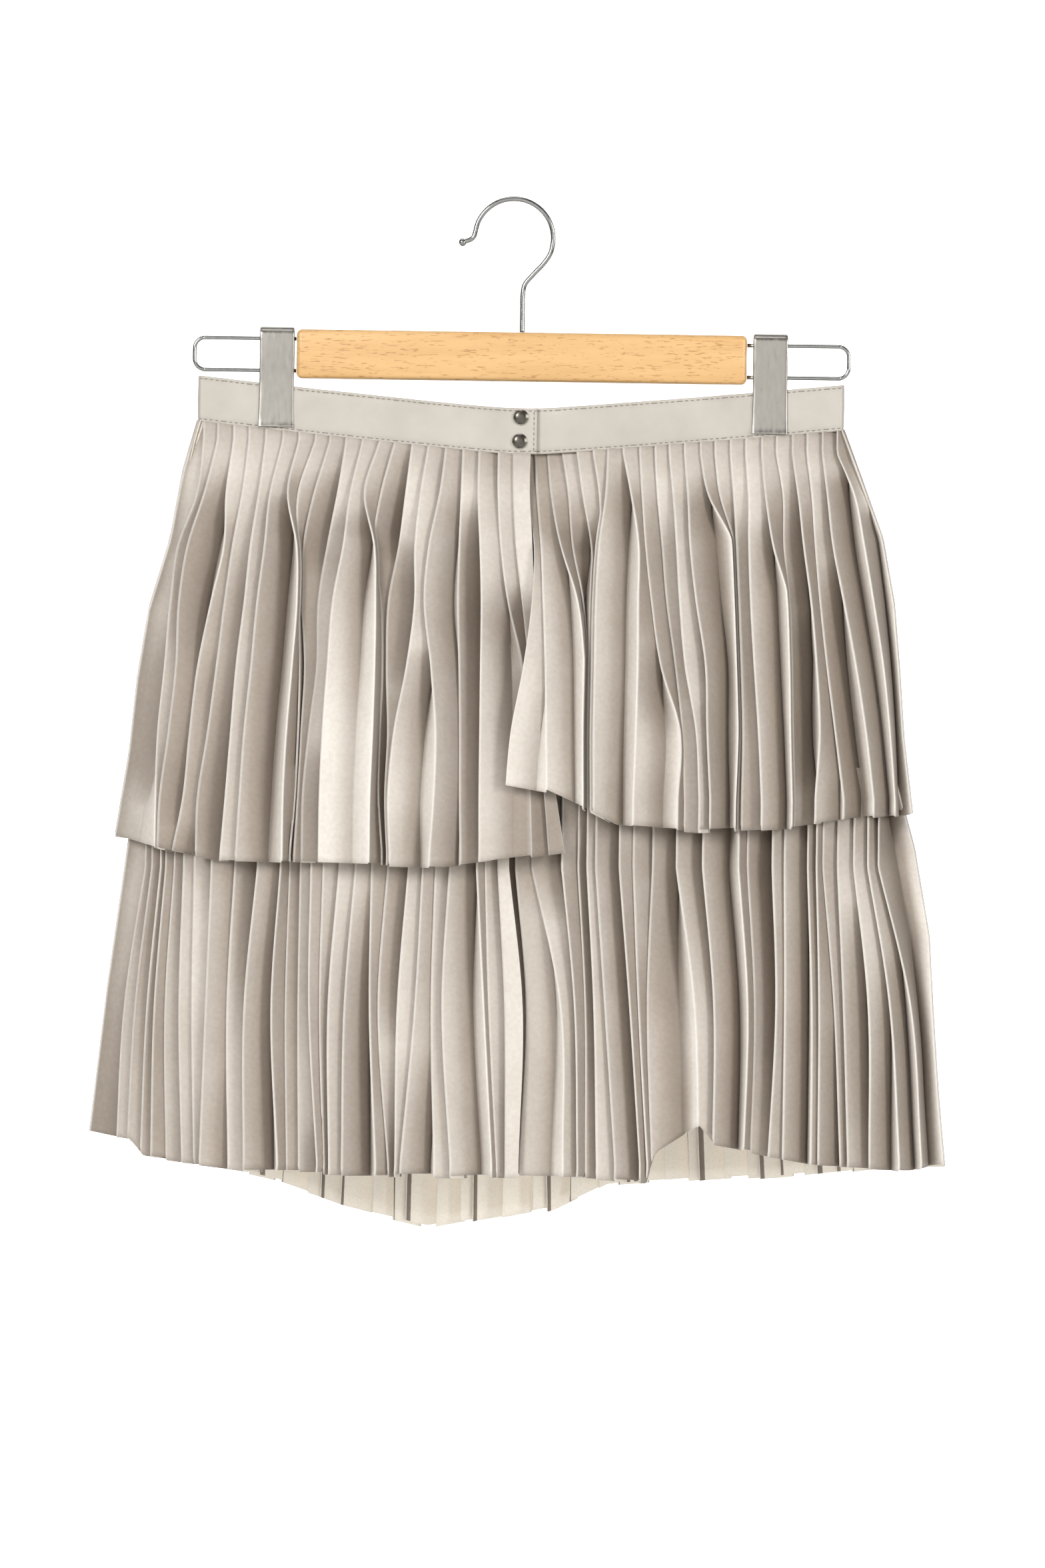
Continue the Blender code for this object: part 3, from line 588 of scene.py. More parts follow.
def underTop(tier, share):
    # the shadow that the band, or the tier above, throws on the top of the pleats
    start, reach = tier["shadow"]
    return 1.0 - pleat["topShade"] * (1.0 - ease((share - start) / reach))


def rawHem(panel, number, share):
    # the cut hem steps up or down a little from one pleat to the next
    return pleat["hemStep"] * (random.Random(panel["seed"] * 100 + number).random() - 0.5) * share**4


def tierDrop(tier, panel, x, share):
    top = bandTopDrop(x * 0.985) + band["height"] - 0.8 if tier["fromBand"] else tier["top"]
    return top + (readRow(panel["hem"], x) - top) * share


# how the back's pleats are spread, how far they sway across, and how far some settle inwards
backLook = dict(round=0.35, even=0.65, sway=2.6, settle=1.8)


def buildBackTier(tier, name, panel):
    fromBand, sections = tier["fromBand"], tier["sections"]
    levels = []
    for r in range(pleat["backRows"] + 1):
        share = r / pleat["backRows"]
        halves = bodyValue(sections, share, 1), bodyValue(sections, share, 2)
        ridges, limits = [(halves[1], 0.1)], [None]
        for n in range(panel["pleats"] + 1):
            turn = math.pi * n / panel["pleats"]
            spread = math.cos(turn) * backLook["round"] + (1.0 - 2.0 * n / panel["pleats"]) * backLook["even"]
            inside = math.sin(turn) ** 0.5 if 0 < n < panel["pleats"] else 0.0
            half = halves[1] if spread > 0 else halves[0]
            x = spread * half
            x += backLook["sway"] * ease(share / 0.4) * math.sin(n * 1.9 + 1.3 * share) * inside
            back = backLook["settle"] * (1.0 + math.sin(n * 0.95)) * ease(share / 0.3) * inside
            depth = max(bodyDepth(sections, share, x, fromBand) - back, pleat["leastDepth"])
            ridges.append((x, depth))
            limits.append(foldLimit(x, depth, None))
        ridges.append((-halves[0], 0.1))
        limits[-1] = None
        levels.append(hungLevel(tier, panel, share, foldedLevel(ridges, limits, False), 1))
    # only the lower back shows its inner side to the light, so it takes the lit copy of the underside, with
    # painted light in its colour and glow
    return sewTier(name, levels, panel, suedeSide if fromBand else suedeLit)


def leftUnderRight(x, share):
    return 6.0 * ease((x + 26.0) / 24.0) * ease((share - 0.3) / 0.12)


def rightUnderLeft(x, share):
    return 5.4 * ease((38.0 - x) / 24.0) * (1.0 - ease((share - 0.2) / 0.12))


def lowerRightUnder(x, share):
    return 5.0 * ease((30.0 - x) / 22.0)


upperTier = dict(fromBand=True, sections=upperBody, slitX=8.0, settle=1.5, shadow=(0.0, 0.12))
lowerTier = dict(fromBand=False, sections=lowerBody, slitX=8.0, settle=1.4, top=318.0, shadow=(0.15, 0.2))

# each fold's place across the photograph at the heights given, and how far it lies back
upperLeft = dict(
    heights=(660, 740, 820, 900, 1000, 1100, 1200, 1280), seam="left", seed=11, under=leftUnderRight,
    hem=((-226, 362), (-208, 367), (-190, 371), (-165, 375), (-37, 377), (0, 372), (28, 368)),
    folds=(
        ((306, 297, 268, 258, 250, 240, 237, 236), 0.5),
        ((327, 308, 283, 271, 267, 256, 243, 240), 0.5),
        ((351, 341, 338, 320, 300, 288, 278, 262), 3.5),
        ((374, 365, 351, 340, 328, 315, 300, 298), 3.0),
        ((399, 390, 378, 370, 358, 350, 342, 335), 1.5),
        ((425, 407, 399, 389, 380, 370, 363, 358), 1.0),
        ((449, 433, 447, 448, 441, 433, 428, 427), 0.0),
        ((474, 449, 449, 450, 452, 450, 445, 438), 4.5),
        ((496, 473, 457, 455, 460, 455, 450, 445), 5.5),
        ((520, 508, 493, 480, 478, 466, 457, 456), 4.5),
        ((545, 527, 517, 502, 494, 487, 483, 482), 0.5),
        ((571, 548, 563, 565, 564, 561, 557, 556), 0.0),
        ((594, 573, 562, 572, 575, 572, 570, 575), 5.0),
        ((620, 610, 600, 585, 582, 584, 580, 583), 4.5),
        ((645, 632, 624, 624, 612, 593, 584, 583), 0.5),
        ((671, 661, 645, 638, 648, 655, 652, 646), 0.0),
        ((696, 693, 690, 688, 690, 691, 691, 692), 4.0),
        ((720, 718, 721, 723, 722, 721, 720, 720), 0.0),
        ((749, 748, 752, 762, 784, 790, 795, 797), 1.0),
        ((771, 771, 775, 784, 795, 808, 818, 824), 1.0),
        ((797, 795, 799, 802, 806, 820, 835, 847), 1.0),
    ),
)
upperRight = dict(
    heights=(680, 740, 820, 900, 1000, 1100, 1200), seam="right", seed=37, under=rightUnderLeft,
    hem=((-6, 330), (18, 334), (43, 345), (57, 352), (103, 355), (155, 352), (201, 346), (225, 343)),
    folds=(
        ((785, 790, 801, 798, 785, 766, 757), 0.5),
        ((803, 806, 812, 815, 818, 819, 820), 1.0),
        ((822, 827, 841, 865, 876, 881, 884), 0.5),
        ((844, 853, 859, 874, 881, 884, 886), 4.5),
        ((866, 874, 887, 890, 888, 886, 887), 5.0),
        ((890, 899, 900, 892, 890, 888, 888), 3.5),
        ((912, 909, 898, 893, 891, 889, 889), 0.5),
        ((935, 946, 957, 956, 955, 952, 948), 0.0),
        ((960, 963, 968, 976, 990, 1018, 1014), 3.0),
        ((983, 986, 993, 999, 1012, 1022, 1025), 4.5),
        ((1004, 1009, 1014, 1018, 1026, 1042, 1046), 1.0),
        ((1027, 1031, 1034, 1042, 1056, 1058, 1062), 0.0),
        ((1051, 1061, 1099, 1104, 1106, 1106, 1101), 3.0),
        ((1073, 1079, 1101, 1105, 1108, 1108, 1104), 5.5),
        ((1096, 1100, 1104, 1107, 1110, 1112, 1110), 4.5),
        ((1119, 1122, 1122, 1124, 1129, 1135, 1139), 1.0),
        ((1143, 1147, 1158, 1180, 1183, 1184, 1186), 0.0),
        ((1165, 1174, 1175, 1182, 1185, 1186, 1188), 4.5),
        ((1189, 1196, 1204, 1214, 1222, 1226, 1219), 0.5),
        ((1211, 1217, 1222, 1228, 1238, 1250, 1262), 3.5),
        ((1234, 1240, 1248, 1263, 1281, 1296, 1307), 1.5),
        ((1256, 1280, 1295, 1308, 1323, 1333, 1340), 0.5),
    ),
)
upperBack = dict(pleats=38, seed=71, hem=((-226, 362), (-150, 372), (0, 378), (150, 366), (225, 343)))

lowerLeft = dict(
    heights=(1300, 1500, 1740), seam="left", seed=5, under=lambda x, share: 0.0,
    hem=((-238, 529), (-214, 533), (-206, 542), (-149, 549), (-32, 550), (5, 549)),
    folds=(
        ((221, 191, 178), 0.5), ((231, 207, 194), 1.5), ((244, 225, 215), 1.5), ((252, 236, 231), 1.0),
        ((265, 252, 254), 3.0), ((279, 273, 278), 1.5), ((295, 292, 296), 1.5), ((321, 313, 304), 0.0),
        ((356, 345, 347), 2.5), ((390, 371, 370), 0.0), ((424, 411, 420), 0.5), ((438, 432, 434), 3.5),
        ((454, 451, 452), 3.0), ((470, 467, 479), 0.0), ((488, 483, 489), 1.5), ((512, 496, 497), 1.0),
        ((536, 520, 516), 1.0), ((560, 557, 566), 1.5), ((584, 570, 585), 3.0), ((615, 599, 595), 1.5),
        ((636, 625, 603), 1.0), ((655, 649, 653), 2.5), ((676, 665, 677), 0.5), ((716, 726, 738), 0.0),
        ((729, 734, 746), 2.0), ((748, 758, 759), 0.5), ((764, 784, 778), 0.5),
    ),
)
lowerRight = dict(
    heights=(1300, 1500, 1740), seam="right", seed=53, under=lowerRightUnder,
    hem=((-8, 549), (36, 549), (76, 552), (81, 536), (106, 520), (114, 530), (171, 541), (226, 545),
         (246, 542)),
    folds=(
        ((735, 747, 743), 0.5), ((774, 790, 780), 0.5), ((798, 840, 844), 0.5), ((843, 861, 865), 0.0),
        ((867, 877, 878), 3.0), ((880, 890, 894), 1.0), ((893, 906, 921), 0.5), ((928, 943, 958), 0.0),
        ((949, 956, 969), 2.0), ((978, 970, 976), 3.5), ((1013, 1039, 1045), 2.0), ((1052, 1068, 1066), 0.5),
        ((1105, 1118, 1111), 0.0), ((1119, 1129, 1122), 3.5), ((1156, 1161, 1148), 0.5),
        ((1174, 1174, 1170), 1.0), ((1209, 1214, 1212), 1.0), ((1222, 1225, 1223), 1.0),
        ((1232, 1248, 1257), 3.5), ((1254, 1262, 1268), 2.5), ((1278, 1299, 1300), 1.0),
        ((1299, 1331, 1345), 0.5), ((1315, 1362, 1379), 1.0),
    ),
)
lowerBack = dict(pleats=44, seed=91, hem=((-238, 529), (-175, 547), (-131, 559), (-96, 572), (-47, 585),
                                          (25, 573), (57, 558), (155, 552), (246, 542)))

for name, tier, panel in (
    ("upper_tier_front_left", upperTier, upperLeft), ("upper_tier_front_right", upperTier, upperRight),
    ("lower_tier_front_left", lowerTier, lowerLeft), ("lower_tier_front_right", lowerTier, lowerRight),
):
    buildFrontTier(tier, name, panel)
buildBackTier(upperTier, "upper_tier_back", upperBack)
buildBackTier(lowerTier, "lower_tier_back", lowerBack)
print("pleated tiers ready")


# underskirt

underskirt = dict(
    columns=220, levels=70, power=2.5, wall=0.6, slitX=8.0, dent=5.0,
    # drop at the middle, rise at the sides, half width, half depth
    rows=((136.0, 4.0, 96.0, 8.0), (172.0, 0.0, 140.0, 5.0), (215.0, 0.0, 176.0, 8.0),
          (262.0, 0.0, 198.0, 13.0), (318.0, 0.0, 203.0, 18.0), (420.0, 0.0, 208.0, 21.0),
          (508.0, 0.0, 214.0, 27.0)),
)


def buildUnderskirt():
    shape = underskirt
    drops = [r[0] for r in shape["rows"]]
    columns, levels = shape["columns"], shape["levels"]
    points = []
    for r in range(levels + 1):
        drop = drops[0] + (drops[-1] - drops[0]) * r / levels
        rise, half, depth = (smoothThrough(drops, [row[c] for row in shape["rows"]], drop) for c in (1, 2, 3))
        for k, (c, s) in enumerate(circle(columns)):
            x = half * math.copysign(abs(c) ** (2 / shape["power"]), c)
            y = depth * math.copysign(abs(s) ** (2 / shape["power"]), s)
            if drop < 150:
                y *= min((bandDepth(x) - band["wall"] - 0.4) / depth, 1.0)
            ripple = 1.2 * math.sin(k * 0.33) * ease((drop - 200) / 200) * min(abs(s) * 2, 1)
            y += ripple + (shape["dent"] * ease((60.0 - abs(x - shape["slitX"])) / 26.0) if y < 0 else 0.0)
            points.append(hung(x, y, drop - rise * abs(x) / half))
    piece = newPiece("underskirtTube", points, gridFaces(levels + 1, columns, wrap=True), liningCloth)
    wall = piece.modifiers.new("Cloth", "SOLIDIFY")
    wall.thickness = shape["wall"] * mm
    return place(piece, "underskirt_cloth", "underskirt_yoke_front", "underskirt_yoke_back",
                 "underskirt_front", "underskirt_back")


buildUnderskirt()
print("underskirt ready")


# waistband, with its rounded edges and two rows of stitches

bandLook = dict(
    step=1.6, edgeWave=0.3, faceWave=0.22, stitchInset=1.6, stitchPitch=2.9, stitchLong=2.0, stitchWide=0.6,
    stitchHigh=0.3, endInset=1.8,
    # distance down the band and out from its face, once round its thickness
    section=((0.0, -0.75), (0.2, -0.28), (0.75, 0.0), (1.2, 0.02), (1.6, -0.28), (2.0, 0.02), (4.5, 0.05),
             (8.5, 0.12), (13.0, 0.16), (17.5, 0.12), (21.5, 0.05), (24.0, 0.02), (24.4, -0.28), (24.8, 0.02),
             (25.25, 0.0), (25.8, -0.28), (26.0, -0.75), (26.0, -1.35), (25.6, -1.85), (24.6, -2.0),
             (13.0, -2.0), (1.4, -2.0), (0.4, -1.85), (0.0, -1.35)),
)


def bandPlan(xs, depthAt, outSign):
    # points along the band seen from above, each with its outward direction
    plan = [(x, outSign * depthAt(x)) for x in xs]
    out = []
    for i, (x, y) in enumerate(plan):
        before, after = besides(plan, i)
        tx, ty = after[0] - before[0], after[1] - before[1]
        size = max(math.hypot(tx, ty), 1e-6)
        nx, ny = ty / size, -tx / size
        if ny * outSign < 0:
            nx, ny = -nx, -ny
        out.append((x, y, nx, ny))
    return out


def bandPoint(station, down, outward):
    x, y, nx, ny = station
    look = bandLook
    edge = down / band["height"]
    wander = math.sin(x * 0.083 + 2.3 * edge) + 0.5 * math.sin(x * 0.31 + 4.0 * edge)
    wander = look["edgeWave"] * wander * 0.5
    face = look["faceWave"] * math.sin(x * 0.19 + 1.2 * math.sin(x * 0.047)) * math.sin(math.pi * edge)
    flat = ease((band["half"] - abs(x)) / 8.0)
    outward += face * flat * (1.0 if outward > -1.0 else 0.6)
    drop = bandTopDrop(x) + down + wander * flat * (1.0 - 2.0 * abs(edge - 0.5)) * 0.3 + wander * 0.25 * flat
    return hung(x + nx * outward, y + ny * outward, drop)


def closedSweep(name, rings, material):
    around = len(rings[0])
    faces = gridFaces(len(rings), around, wrap=True, flip=True)
    faces.append(tuple(range(around)))
    faces.append(tuple(range((len(rings) - 1) * around, len(rings) * around)))
    piece = newPiece(name, [p for ring in rings for p in ring], faces, material)
    form = bmesh.new()
    form.from_mesh(piece.data)
    bmesh.ops.recalc_face_normals(form, faces=form.faces)
    form.to_mesh(piece.data)
    form.free()
    return piece


def stretchBetween(start, end, step):
    count = max(2, round(abs(end - start) / step))
    return [start + (end - start) * k / count for k in range(count + 1)]


def cornerStations(sign):
    # the tight turn at a side seam, from the seam inwards
    return [sign * (band["half"] - d) for d in (0.0, 0.04, 0.15, 0.35, 0.65, 1.0, 1.5)]


def frontUnderlap(x):
    return bandDepth(x) - band["underlap"] * ease((30.0 - x) / 18.0)


def makeStitches(name, seams):
    # seams holds each stitch's middle, its direction and its outward side
    length, wide, high = (bandLook[key] * mm for key in ("stitchLong", "stitchWide", "stitchHigh"))
    points, faces = [], []
    for centre, along, out in seams:
        centre, along, out = Vector(centre), Vector(along), Vector(out)
        side = along.cross(out)
        base = len(points)
        points.append(centre - along * length / 2)
        for shift in (-0.32, 0.32):
            middle = centre + along * length * shift
            points += [middle + side * c * wide / 2 + out * s * high / 2 for c, s in circle(6)]
        points.append(centre + along * length / 2)
        for k in range(6):
            n = (k + 1) % 6
            faces += [(base, base + 1 + n, base + 1 + k),
                      (base + 1 + k, base + 1 + n, base + 7 + n, base + 7 + k),
                      (base + 13, base + 7 + k, base + 7 + n)]
    return newPiece(name, points, faces, threadColour)


def seamLine(stations, down):
    # stitches every few millimetres along the band, a set distance down from its top
    stitches, run = [], 0.0
    for i in range(len(stations) - 1):
        a, b = bandPoint(stations[i], down, 0.02), bandPoint(stations[i + 1], down, 0.02)
        step = (Vector(b) - Vector(a)).length / mm
        run += step
        if run >= bandLook["stitchPitch"] and abs(stations[i][0]) < band["half"] - 1.2:
            run -= bandLook["stitchPitch"]
            along = (Vector(b) - Vector(a)).normalized()
            stitches.append(((Vector(a) + Vector(b)) / 2, along, (stations[i][2], stations[i][3], 0.0)))
    return stitches


def buildBand():
    inner, step = band["half"] - 2.0, bandLook["step"]
    pieces, seams = {}, []
    plans = (
        ("waistband_front_left", cornerStations(-1) + stretchBetween(-inner, band["leftEnd"], step),
         bandDepth, -1),
        ("waistband_front_right", stretchBetween(band["rightEnd"], inner, step) + cornerStations(1)[::-1],
         frontUnderlap, -1),
        ("waistband_back", cornerStations(1) + stretchBetween(inner, -inner, step) + cornerStations(-1)[::-1],
         bandDepth, 1),
    )
    for name, xs, depthAt, outSign in plans:
        stations = bandPlan(xs, depthAt, outSign)
        rings = [[bandPoint(station, down, out) for down, out in bandLook["section"]] for station in stations]
        piece = closedSweep(name, rings, bandLeather)
        pieces[name] = place(piece, "band_leather", name)
        for down in (bandLook["stitchInset"], band["height"] - bandLook["stitchInset"]):
            seams += seamLine(stations, down)
        if name == "waistband_front_left":
            endX = band["leftEnd"] - bandLook["endInset"]
            end = bandPlan([endX - 0.2, endX], depthAt, outSign)[1]
            down = 3.0
            while down < band["height"] - 2.4:
                seams.append((bandPoint(end, down, 0.12), (0, 0, -1), (end[2], end[3], 0.0)))
                down += bandLook["stitchPitch"]
    place(makeStitches("bandStitches", seams), "band_leather")
    return pieces


bandPieces = buildBand()
print("waistband ready")


# snaps, turned round their own axis

def turned(name, profile, steps, materials, pickMaterial):
    # a profile of (radius, height) spun round z, in millimetres
    points, faces, picks, starts = [], [], [], []
    for radius, height in profile:
        starts.append(len(points))
        if radius < 1e-6:
            points.append((0.0, 0.0, height * mm))
        else:
            points += [(radius * c * mm, radius * s * mm, height * mm) for c, s in circle(steps)]
    for i in range(len(profile) - 1):
        (r1, _), (r2, _) = profile[i], profile[i + 1]
        for k in range(steps):
            n = (k + 1) % steps
            first = [starts[i]] if r1 < 1e-6 else [starts[i] + k, starts[i] + n]
            second = [starts[i + 1]] if r2 < 1e-6 else [starts[i + 1] + n, starts[i + 1] + k]
            faces.append(tuple(first + second))
            picks.append(pickMaterial((r1 + r2) / 2))
    piece = newPiece(name, points, faces, *materials)
    piece.data.polygons.foreach_set("material_index", picks)
    return piece


snap = dict(
    steps=48, seat=0.15, rimFrom=4.0,
    places=(("snap_upper", 0.1, 123.1), ("snap_lower", -0.4, 136.6)),
    profile=((0.0, 1.95), (1.0, 1.9), (2.0, 1.75), (2.9, 1.48), (3.6, 1.12), (4.0, 0.82), (4.2, 0.72),
             (4.38, 0.55), (4.42, 0.35), (4.35, 0.12), (4.1, 0.0), (0.0, 0.0)),
)
for name, x, drop in snap["places"]:
    cap = turned(name + "Cap", snap["profile"], snap["steps"], (gunmetal, snapRim),
                 lambda radius: 1 if radius > snap["rimFrom"] else 0)
    cap.rotation_euler = (math.radians(90), 0, 0)
    cap.location = hung(x, -(bandDepth(x) + snap["seat"]), drop)
    place(cap, "gunmetal", name)
print("snaps ready")


# hanger: bar, hook, wire loops, clips and their springs

hanger = dict(
    barSize=(254.8, 12.0, 27.7), barDrop=88.2, barRounding=3.0, hookWire=1.4, hookCentre=(-5.4, 20.8),
    hookRadius=22.2, loopWire=1.1, loopTop=79.7, loopBottom=97.8, loopEnd=185.3, loopCorner=6.0,
    clipWide=19.6, clipTop=73.1, clipCrown=4.7, clipWall=0.8,
    clipCentres=dict(left=-138.6, right=140.9), coilRadius=2.7, coilWire=0.45, coilTurns=11,
    # x and drop of the hook's stem, and distance along and radius of the ball at its tip
    hookStem=((0.0, 74.05), (0.0, 68.0), (0.0, 60.0), (0.0, 53.5), (1.2, 47.0), (6.2, 40.9), (11.3, 35.4),
              (15.2, 29.6)),
    hookEnd=((-28.2, 20.4), (-30.2, 22.1), (-33.0, 23.1)),
    ball=((0.0, 1.42), (0.15, 1.75), (0.6, 2.05), (1.2, 2.22), (1.9, 2.25), (2.6, 2.1), (3.2, 1.6),
          (3.55, 0.95), (3.7, 0.3)),
    # the drilled holes' radii, and their rim as (inset, height)
    hookHole=1.9, loopHole=1.6, holeRim=((0.0, -0.1), (0.0, 0.06), (0.25, 0.1), (0.45, 0.02), (0.5, -0.1)),
    # one side of a clip below its crown as (y, drop)
    clipSide=((4.62, 81.0), (4.5, 86.0), (4.3, 92.0), (3.95, 98.0), (3.6, 103.0), (3.6, 110.0), (3.6, 118.0),
              (3.6, 125.5), (3.75, 127.4), (4.15, 128.8), (4.35, 129.7)),
    # share of a clip's half width, how far the edge is turned inwards
    clipAcross=((-1.0, 1.3), (-0.995, 0.7), (-0.97, 0.22), (-0.92, 0.04), (-0.8, 0.0), (-0.4, 0.0),
                (0.0, 0.0), (0.4, 0.0), (0.8, 0.0), (0.92, 0.04), (0.97, 0.22), (0.995, 0.7), (1.0, 1.3)),
    # the ends of a spring press on the two jaws, as (y, drop)
    coilSteps=24, coilInset=2.3, coilEnd=((3.0, 97.0), (2.9, 88.0)),
)


def wireAlong(name, path, radii, material, sides=20):
    # a round wire along a path of points
    rings = []
    path = [Vector(p) for p in path]
    across = None
    for i, p in enumerate(path):
        before, after = besides(path, i)
        along = (after - before).normalized()
        if across is None:
            across = along.orthogonal().normalized()
        across = (across - along * across.dot(along)).normalized()
        upward = along.cross(across)
        rings.append([(p + (across * c + upward * s) * radii[i]) * mm for c, s in circle(sides)])
    return closedSweep(name, rings, material)


def roundedPath(points, per):
    # a smooth path through points that keeps to them
    path = []
    for i in range(len(points) - 1):
        spots = points[max(i - 1, 0)], points[i], points[i + 1], points[min(i + 2, len(points) - 1)]
        p0, p1, p2, p3 = (Vector(spot) for spot in spots)
        for k in range(per):
            s = k / per
            path.append(0.5 * ((2 * p1) + (p2 - p0) * s + (2 * p0 - 5 * p1 + 4 * p2 - p3) * s * s
                               + (3 * p1 - p0 - 3 * p2 + p3) * s**3))
    path.append(Vector(points[-1]))
    return path


def buildBar():
    size = hanger["barSize"]
    mesh = bpy.data.meshes.new("hangerBar")
    form = bmesh.new()
    bmesh.ops.create_cube(form, size=1.0)
    bmesh.ops.scale(form, vec=Vector(size) * mm, verts=form.verts)
    bmesh.ops.bevel(form, geom=list(form.edges), offset=hanger["barRounding"] * mm, segments=5, profile=0.5,
                    affect="EDGES")
    form.to_mesh(mesh)
    form.free()
    mesh.polygons.foreach_set("use_smooth", [True] * len(mesh.polygons))
    bar = newObject("hangerBar", mesh, beechWood)
    bar.location = hung(0, 0, hanger["barDrop"])
    place(bar, "beech", "hanger_bar")
    # the drilled holes that the wires go into: place, drop, turn in degrees and radius
    holes = [(0.0, hanger["barDrop"] - size[2] / 2, 0, hanger["hookHole"])]
    for sign in (-1, 1):
        holes += [(sign * size[0] / 2, drop, sign * 90, hanger["loopHole"])
                  for drop in (hanger["loopTop"], hanger["loopBottom"])]
    for number, (x, drop, turn, radius) in enumerate(holes):
        profile = [(radius - inset, height) for inset, height in hanger["holeRim"]]
        # a thin dark ring stands in for the hole's opening, its darkness partly painted shade
        rim = turned("drilledHole%d" % number, profile, 32, (holeWoodAndShade,), lambda radius: 0)
        rim.rotation_euler = (0, math.radians(turn), 0)
        rim.location = hung(x, 0, drop)
        place(rim, "beech")


def buildHook():
    cx, cz = hanger["hookCentre"]
    radius = hanger["hookRadius"]
    spots = list(hanger["hookStem"])
    for degrees in range(-8, 176, 12):
        angle = math.radians(degrees)
        spots.append((cx + radius * math.cos(angle), cz - radius * math.sin(angle)))
    spots += hanger["hookEnd"]
    endX, endDrop = hanger["hookEnd"][-1]
    path = roundedPath([(x + band["middleX"], 0.0, -drop) for x, drop in spots], 6)
    wire = wireAlong("hookWire", path, [hanger["hookWire"]] * len(path), chromeWire, 24)
    ball = [(endX - 0.93 * a + band["middleX"], 0.0, -(endDrop + 0.36 * a)) for a, _ in hanger["ball"]]
    tip = wireAlong("hookTip", ball, [r for _, r in hanger["ball"]], chromeWire, 24)
    place(wire, "chrome_wire", "hanger_hook")
    place(tip, "chrome_wire")


def buildLoops():
    start = hanger["barSize"][0] / 2 + 0.3
    end, corner = hanger["loopEnd"], hanger["loopCorner"]
    for side, sign in (("left", -1), ("right", 1)):
        spots = [(start, hanger["loopTop"])]
        spots += [(start + (end - corner - start) * s, hanger["loopTop"]) for s in (0.33, 0.66)]
        for centre, first in ((hanger["loopTop"] + corner, 90), (hanger["loopBottom"] - corner, 0)):
            for step in range(7):
                angle = math.radians(first - 15 * step)
                spots.append((end - corner + corner * math.cos(angle), centre - corner * math.sin(angle)))
        spots += [(start + (end - corner - start) * s, hanger["loopBottom"]) for s in (0.66, 0.33)]
        spots.append((start, hanger["loopBottom"]))
        path = roundedPath([(sign * x + band["middleX"], 0.0, -drop) for x, drop in spots], 3)
        radii = [hanger["loopWire"]] * len(path)
        wire = wireAlong("loopWire" + side.capitalize(), path, radii, chromeWire)
        place(wire, "chrome_wire", "hanger_loop_" + side)


def clipLine():
    # the bent strip seen from its end, as (y, drop), from the back's foot over the crown to the front's foot
    crown = []
    for degrees in range(90, -1, -9):
        angle = math.radians(degrees)
        crown.append((hanger["clipCrown"] * math.cos(angle),
                      hanger["clipTop"] + hanger["clipCrown"] * (1.0 - math.sin(angle))))
    side = crown + list(hanger["clipSide"])
    return [(-y, drop) for y, drop in reversed(side[1:])] + side


def buildClips():
    line = clipLine()
    half, across = hanger["clipWide"] / 2, hanger["clipAcross"]
    for side, centre in hanger["clipCentres"].items():
        points = []
        for i, (y, drop) in enumerate(line):
            before, after = besides(line, i)
            ty, td = after[0] - before[0], after[1] - before[1]
            size = max(math.hypot(ty, td), 1e-6)
            inwardY, inwardDrop = -td / size, ty / size
            if inwardY * y > 0:
                inwardY, inwardDrop = -inwardY, -inwardDrop
            if abs(y) < 0.01:
                inwardY, inwardDrop = 0.0, 1.0
            foot = 0.35 * ease((drop - 112.0) / 17.0)
            for share, turn in across:
                points.append(hung(centre + share * (half + foot), y + inwardY * turn,
                                   drop + inwardDrop * turn))
        faces = gridFaces(len(line), len(across), flip=True)
        strip = newPiece("clipStrip" + side.capitalize(), points, faces, clipSteel)
        wall = strip.modifiers.new("Sheet", "SOLIDIFY")
        wall.thickness = hanger["clipWall"] * mm
        rounding = strip.modifiers.new("Edges", "BEVEL")
        rounding.width = 0.22 * mm
        rounding.segments = 2
        rounding.limit_method = "ANGLE"
        place(strip, "clip_steel", "clip_" + side)
        coil, radius = [], hanger["coilRadius"]
        steps, reach = hanger["coilTurns"] * hanger["coilSteps"], half - hanger["coilInset"]
        for k in range(steps + 1):
            angle = 2 * math.pi * k / hanger["coilSteps"]
            coil.append((centre + band["middleX"] - reach + 2 * reach * k / steps,
                         radius * math.cos(angle), -hanger["loopTop"] + radius * math.sin(angle)))
        first, last = ([(x, y, -drop) for y, drop in hanger["coilEnd"]] for x in (coil[0][0], coil[-1][0]))
        coil = first + coil + last[::-1]
        radii = [hanger["coilWire"]] * len(coil)
        spring = wireAlong("clipCoil" + side.capitalize(), coil, radii, chromeWire, 8)
        place(spring, "clip_steel", "clip_spring_" + side)


buildBar()
buildHook()
buildLoops()
buildClips()
print("hanger ready")


# stage, lights and camera

studio = dict(
    backdropY=5.2, wallsAway=6.2, floorZ=-1.6, ceiling=9.0, world=0.13,
    cameraDistance=4.0, viewHeight=0.888, target=(0.0094, 0.0, -0.3299), roll=0.85,
    sensor=36.0, farthest=30.0,
    # name, position, width, height, watts
    lights=(
        ("keyWindow", (-3.0, -4.7, 2.0), 1.6, 2.4, 240.0), ("rightPanel", (4.6, -3.4, 1.0), 1.6, 2.4, 175.0),
        ("fillPanel", (0.0, -5.2, 0.0), 4.2, 4.2, 58.0), ("topPanel", (-0.2, -0.8, 3.0), 1.6, 1.0, 14.0),
    ),
)


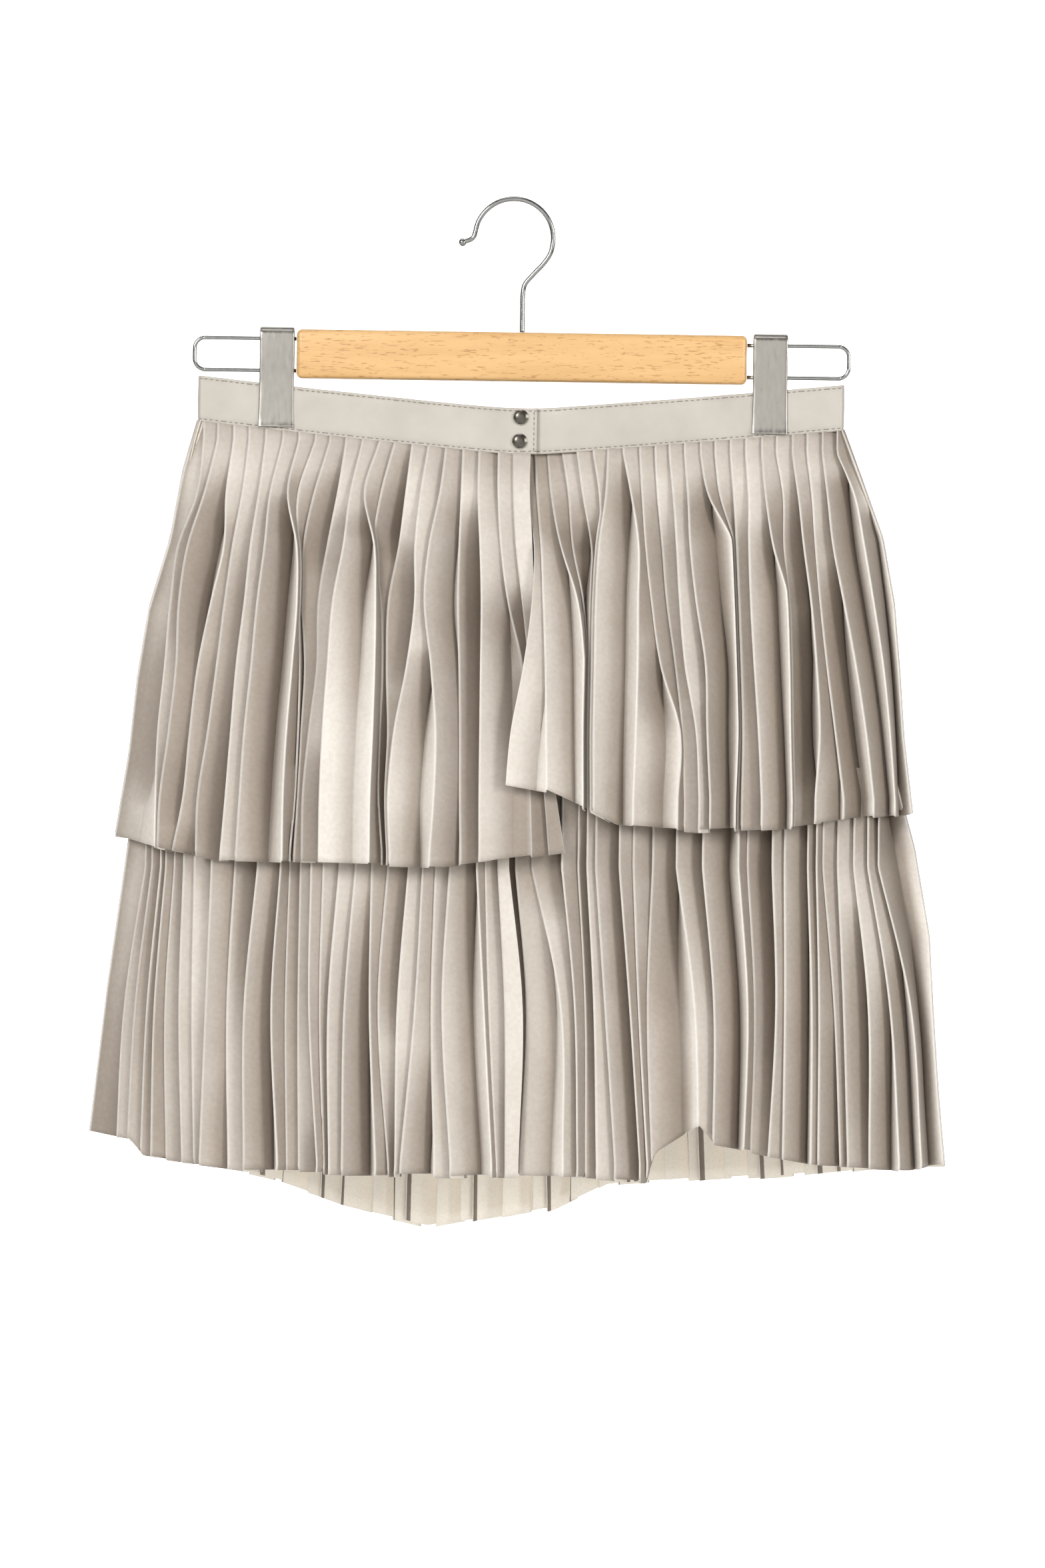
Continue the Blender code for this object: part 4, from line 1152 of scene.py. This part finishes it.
def buildStudio():
    def plane(name, corners, material):
        mesh = bpy.data.meshes.new(name)
        mesh.from_pydata(corners, [], [(0, 1, 2, 3)])
        sheet = newObject(name, mesh, material)
        return sheet

    white = (1.0, 1.0, 1.0, 1.0)
    backdrop, _, shader = startMaterial("backdropWhite")
    setSockets(shader, ("Base Color", white), ("Emission Color", white), ("Emission Strength", 1.0))
    floor, _, shader = startMaterial("paleFloor")
    setSockets(shader, ("Base Color", (0.85, 0.84, 0.82, 1)), ("Roughness", 0.7))
    far, away, z, top = studio["backdropY"], studio["wallsAway"], studio["floorZ"], studio["ceiling"]
    plane("backdrop", ((-away, far, z), (away, far, z), (away, far, top), (-away, far, top)), backdrop)
    plane("floor", ((-away, -away, z), (away, -away, z), (away, far, z), (-away, far, z)), floor)
    # the studio's other walls are only seen, and give no light of their own
    for name, corners in (
        ("wallLeft", ((-away, -away, z), (-away, far, z), (-away, far, top), (-away, -away, top))),
        ("wallRight", ((away, far, z), (away, -away, z), (away, -away, top), (away, far, top))),
        ("wallFront", ((away, -away, z), (-away, -away, z), (-away, -away, top), (away, -away, top))),
    ):
        wall = plane(name, corners, backdrop)
        wall.visible_diffuse = wall.visible_glossy = False
    bpy.context.scene.view_settings.view_transform = "Standard"
    world = bpy.data.worlds.new("studioLight")
    world.use_nodes = True
    setSockets(world.node_tree.nodes["Background"], ("Color", white), ("Strength", studio["world"]))
    bpy.context.scene.world = world
    aim = Vector(studio["target"])
    for name, position, width, height, watts in studio["lights"]:
        data = bpy.data.lights.new(name, "AREA")
        data.shape = "RECTANGLE"
        data.size, data.size_y, data.energy = width, height, watts
        lamp = newObject(name, data)
        lamp.location = position
        lamp.rotation_euler = (aim - Vector(position)).to_track_quat("-Z", "Y").to_euler()
    lens = bpy.data.cameras.new("productCamera")
    lens.sensor_width = studio["sensor"]
    lens.lens = studio["sensor"] * studio["cameraDistance"] / studio["viewHeight"]
    lens.clip_end = studio["farthest"]
    camera = newObject("productCamera", lens)
    camera.location = aim - Vector((0, studio["cameraDistance"], 0))
    camera.rotation_euler = (math.radians(90), math.radians(-studio["roll"]), 0)
    bpy.context.scene.camera = camera


buildStudio()
print("studio ready")
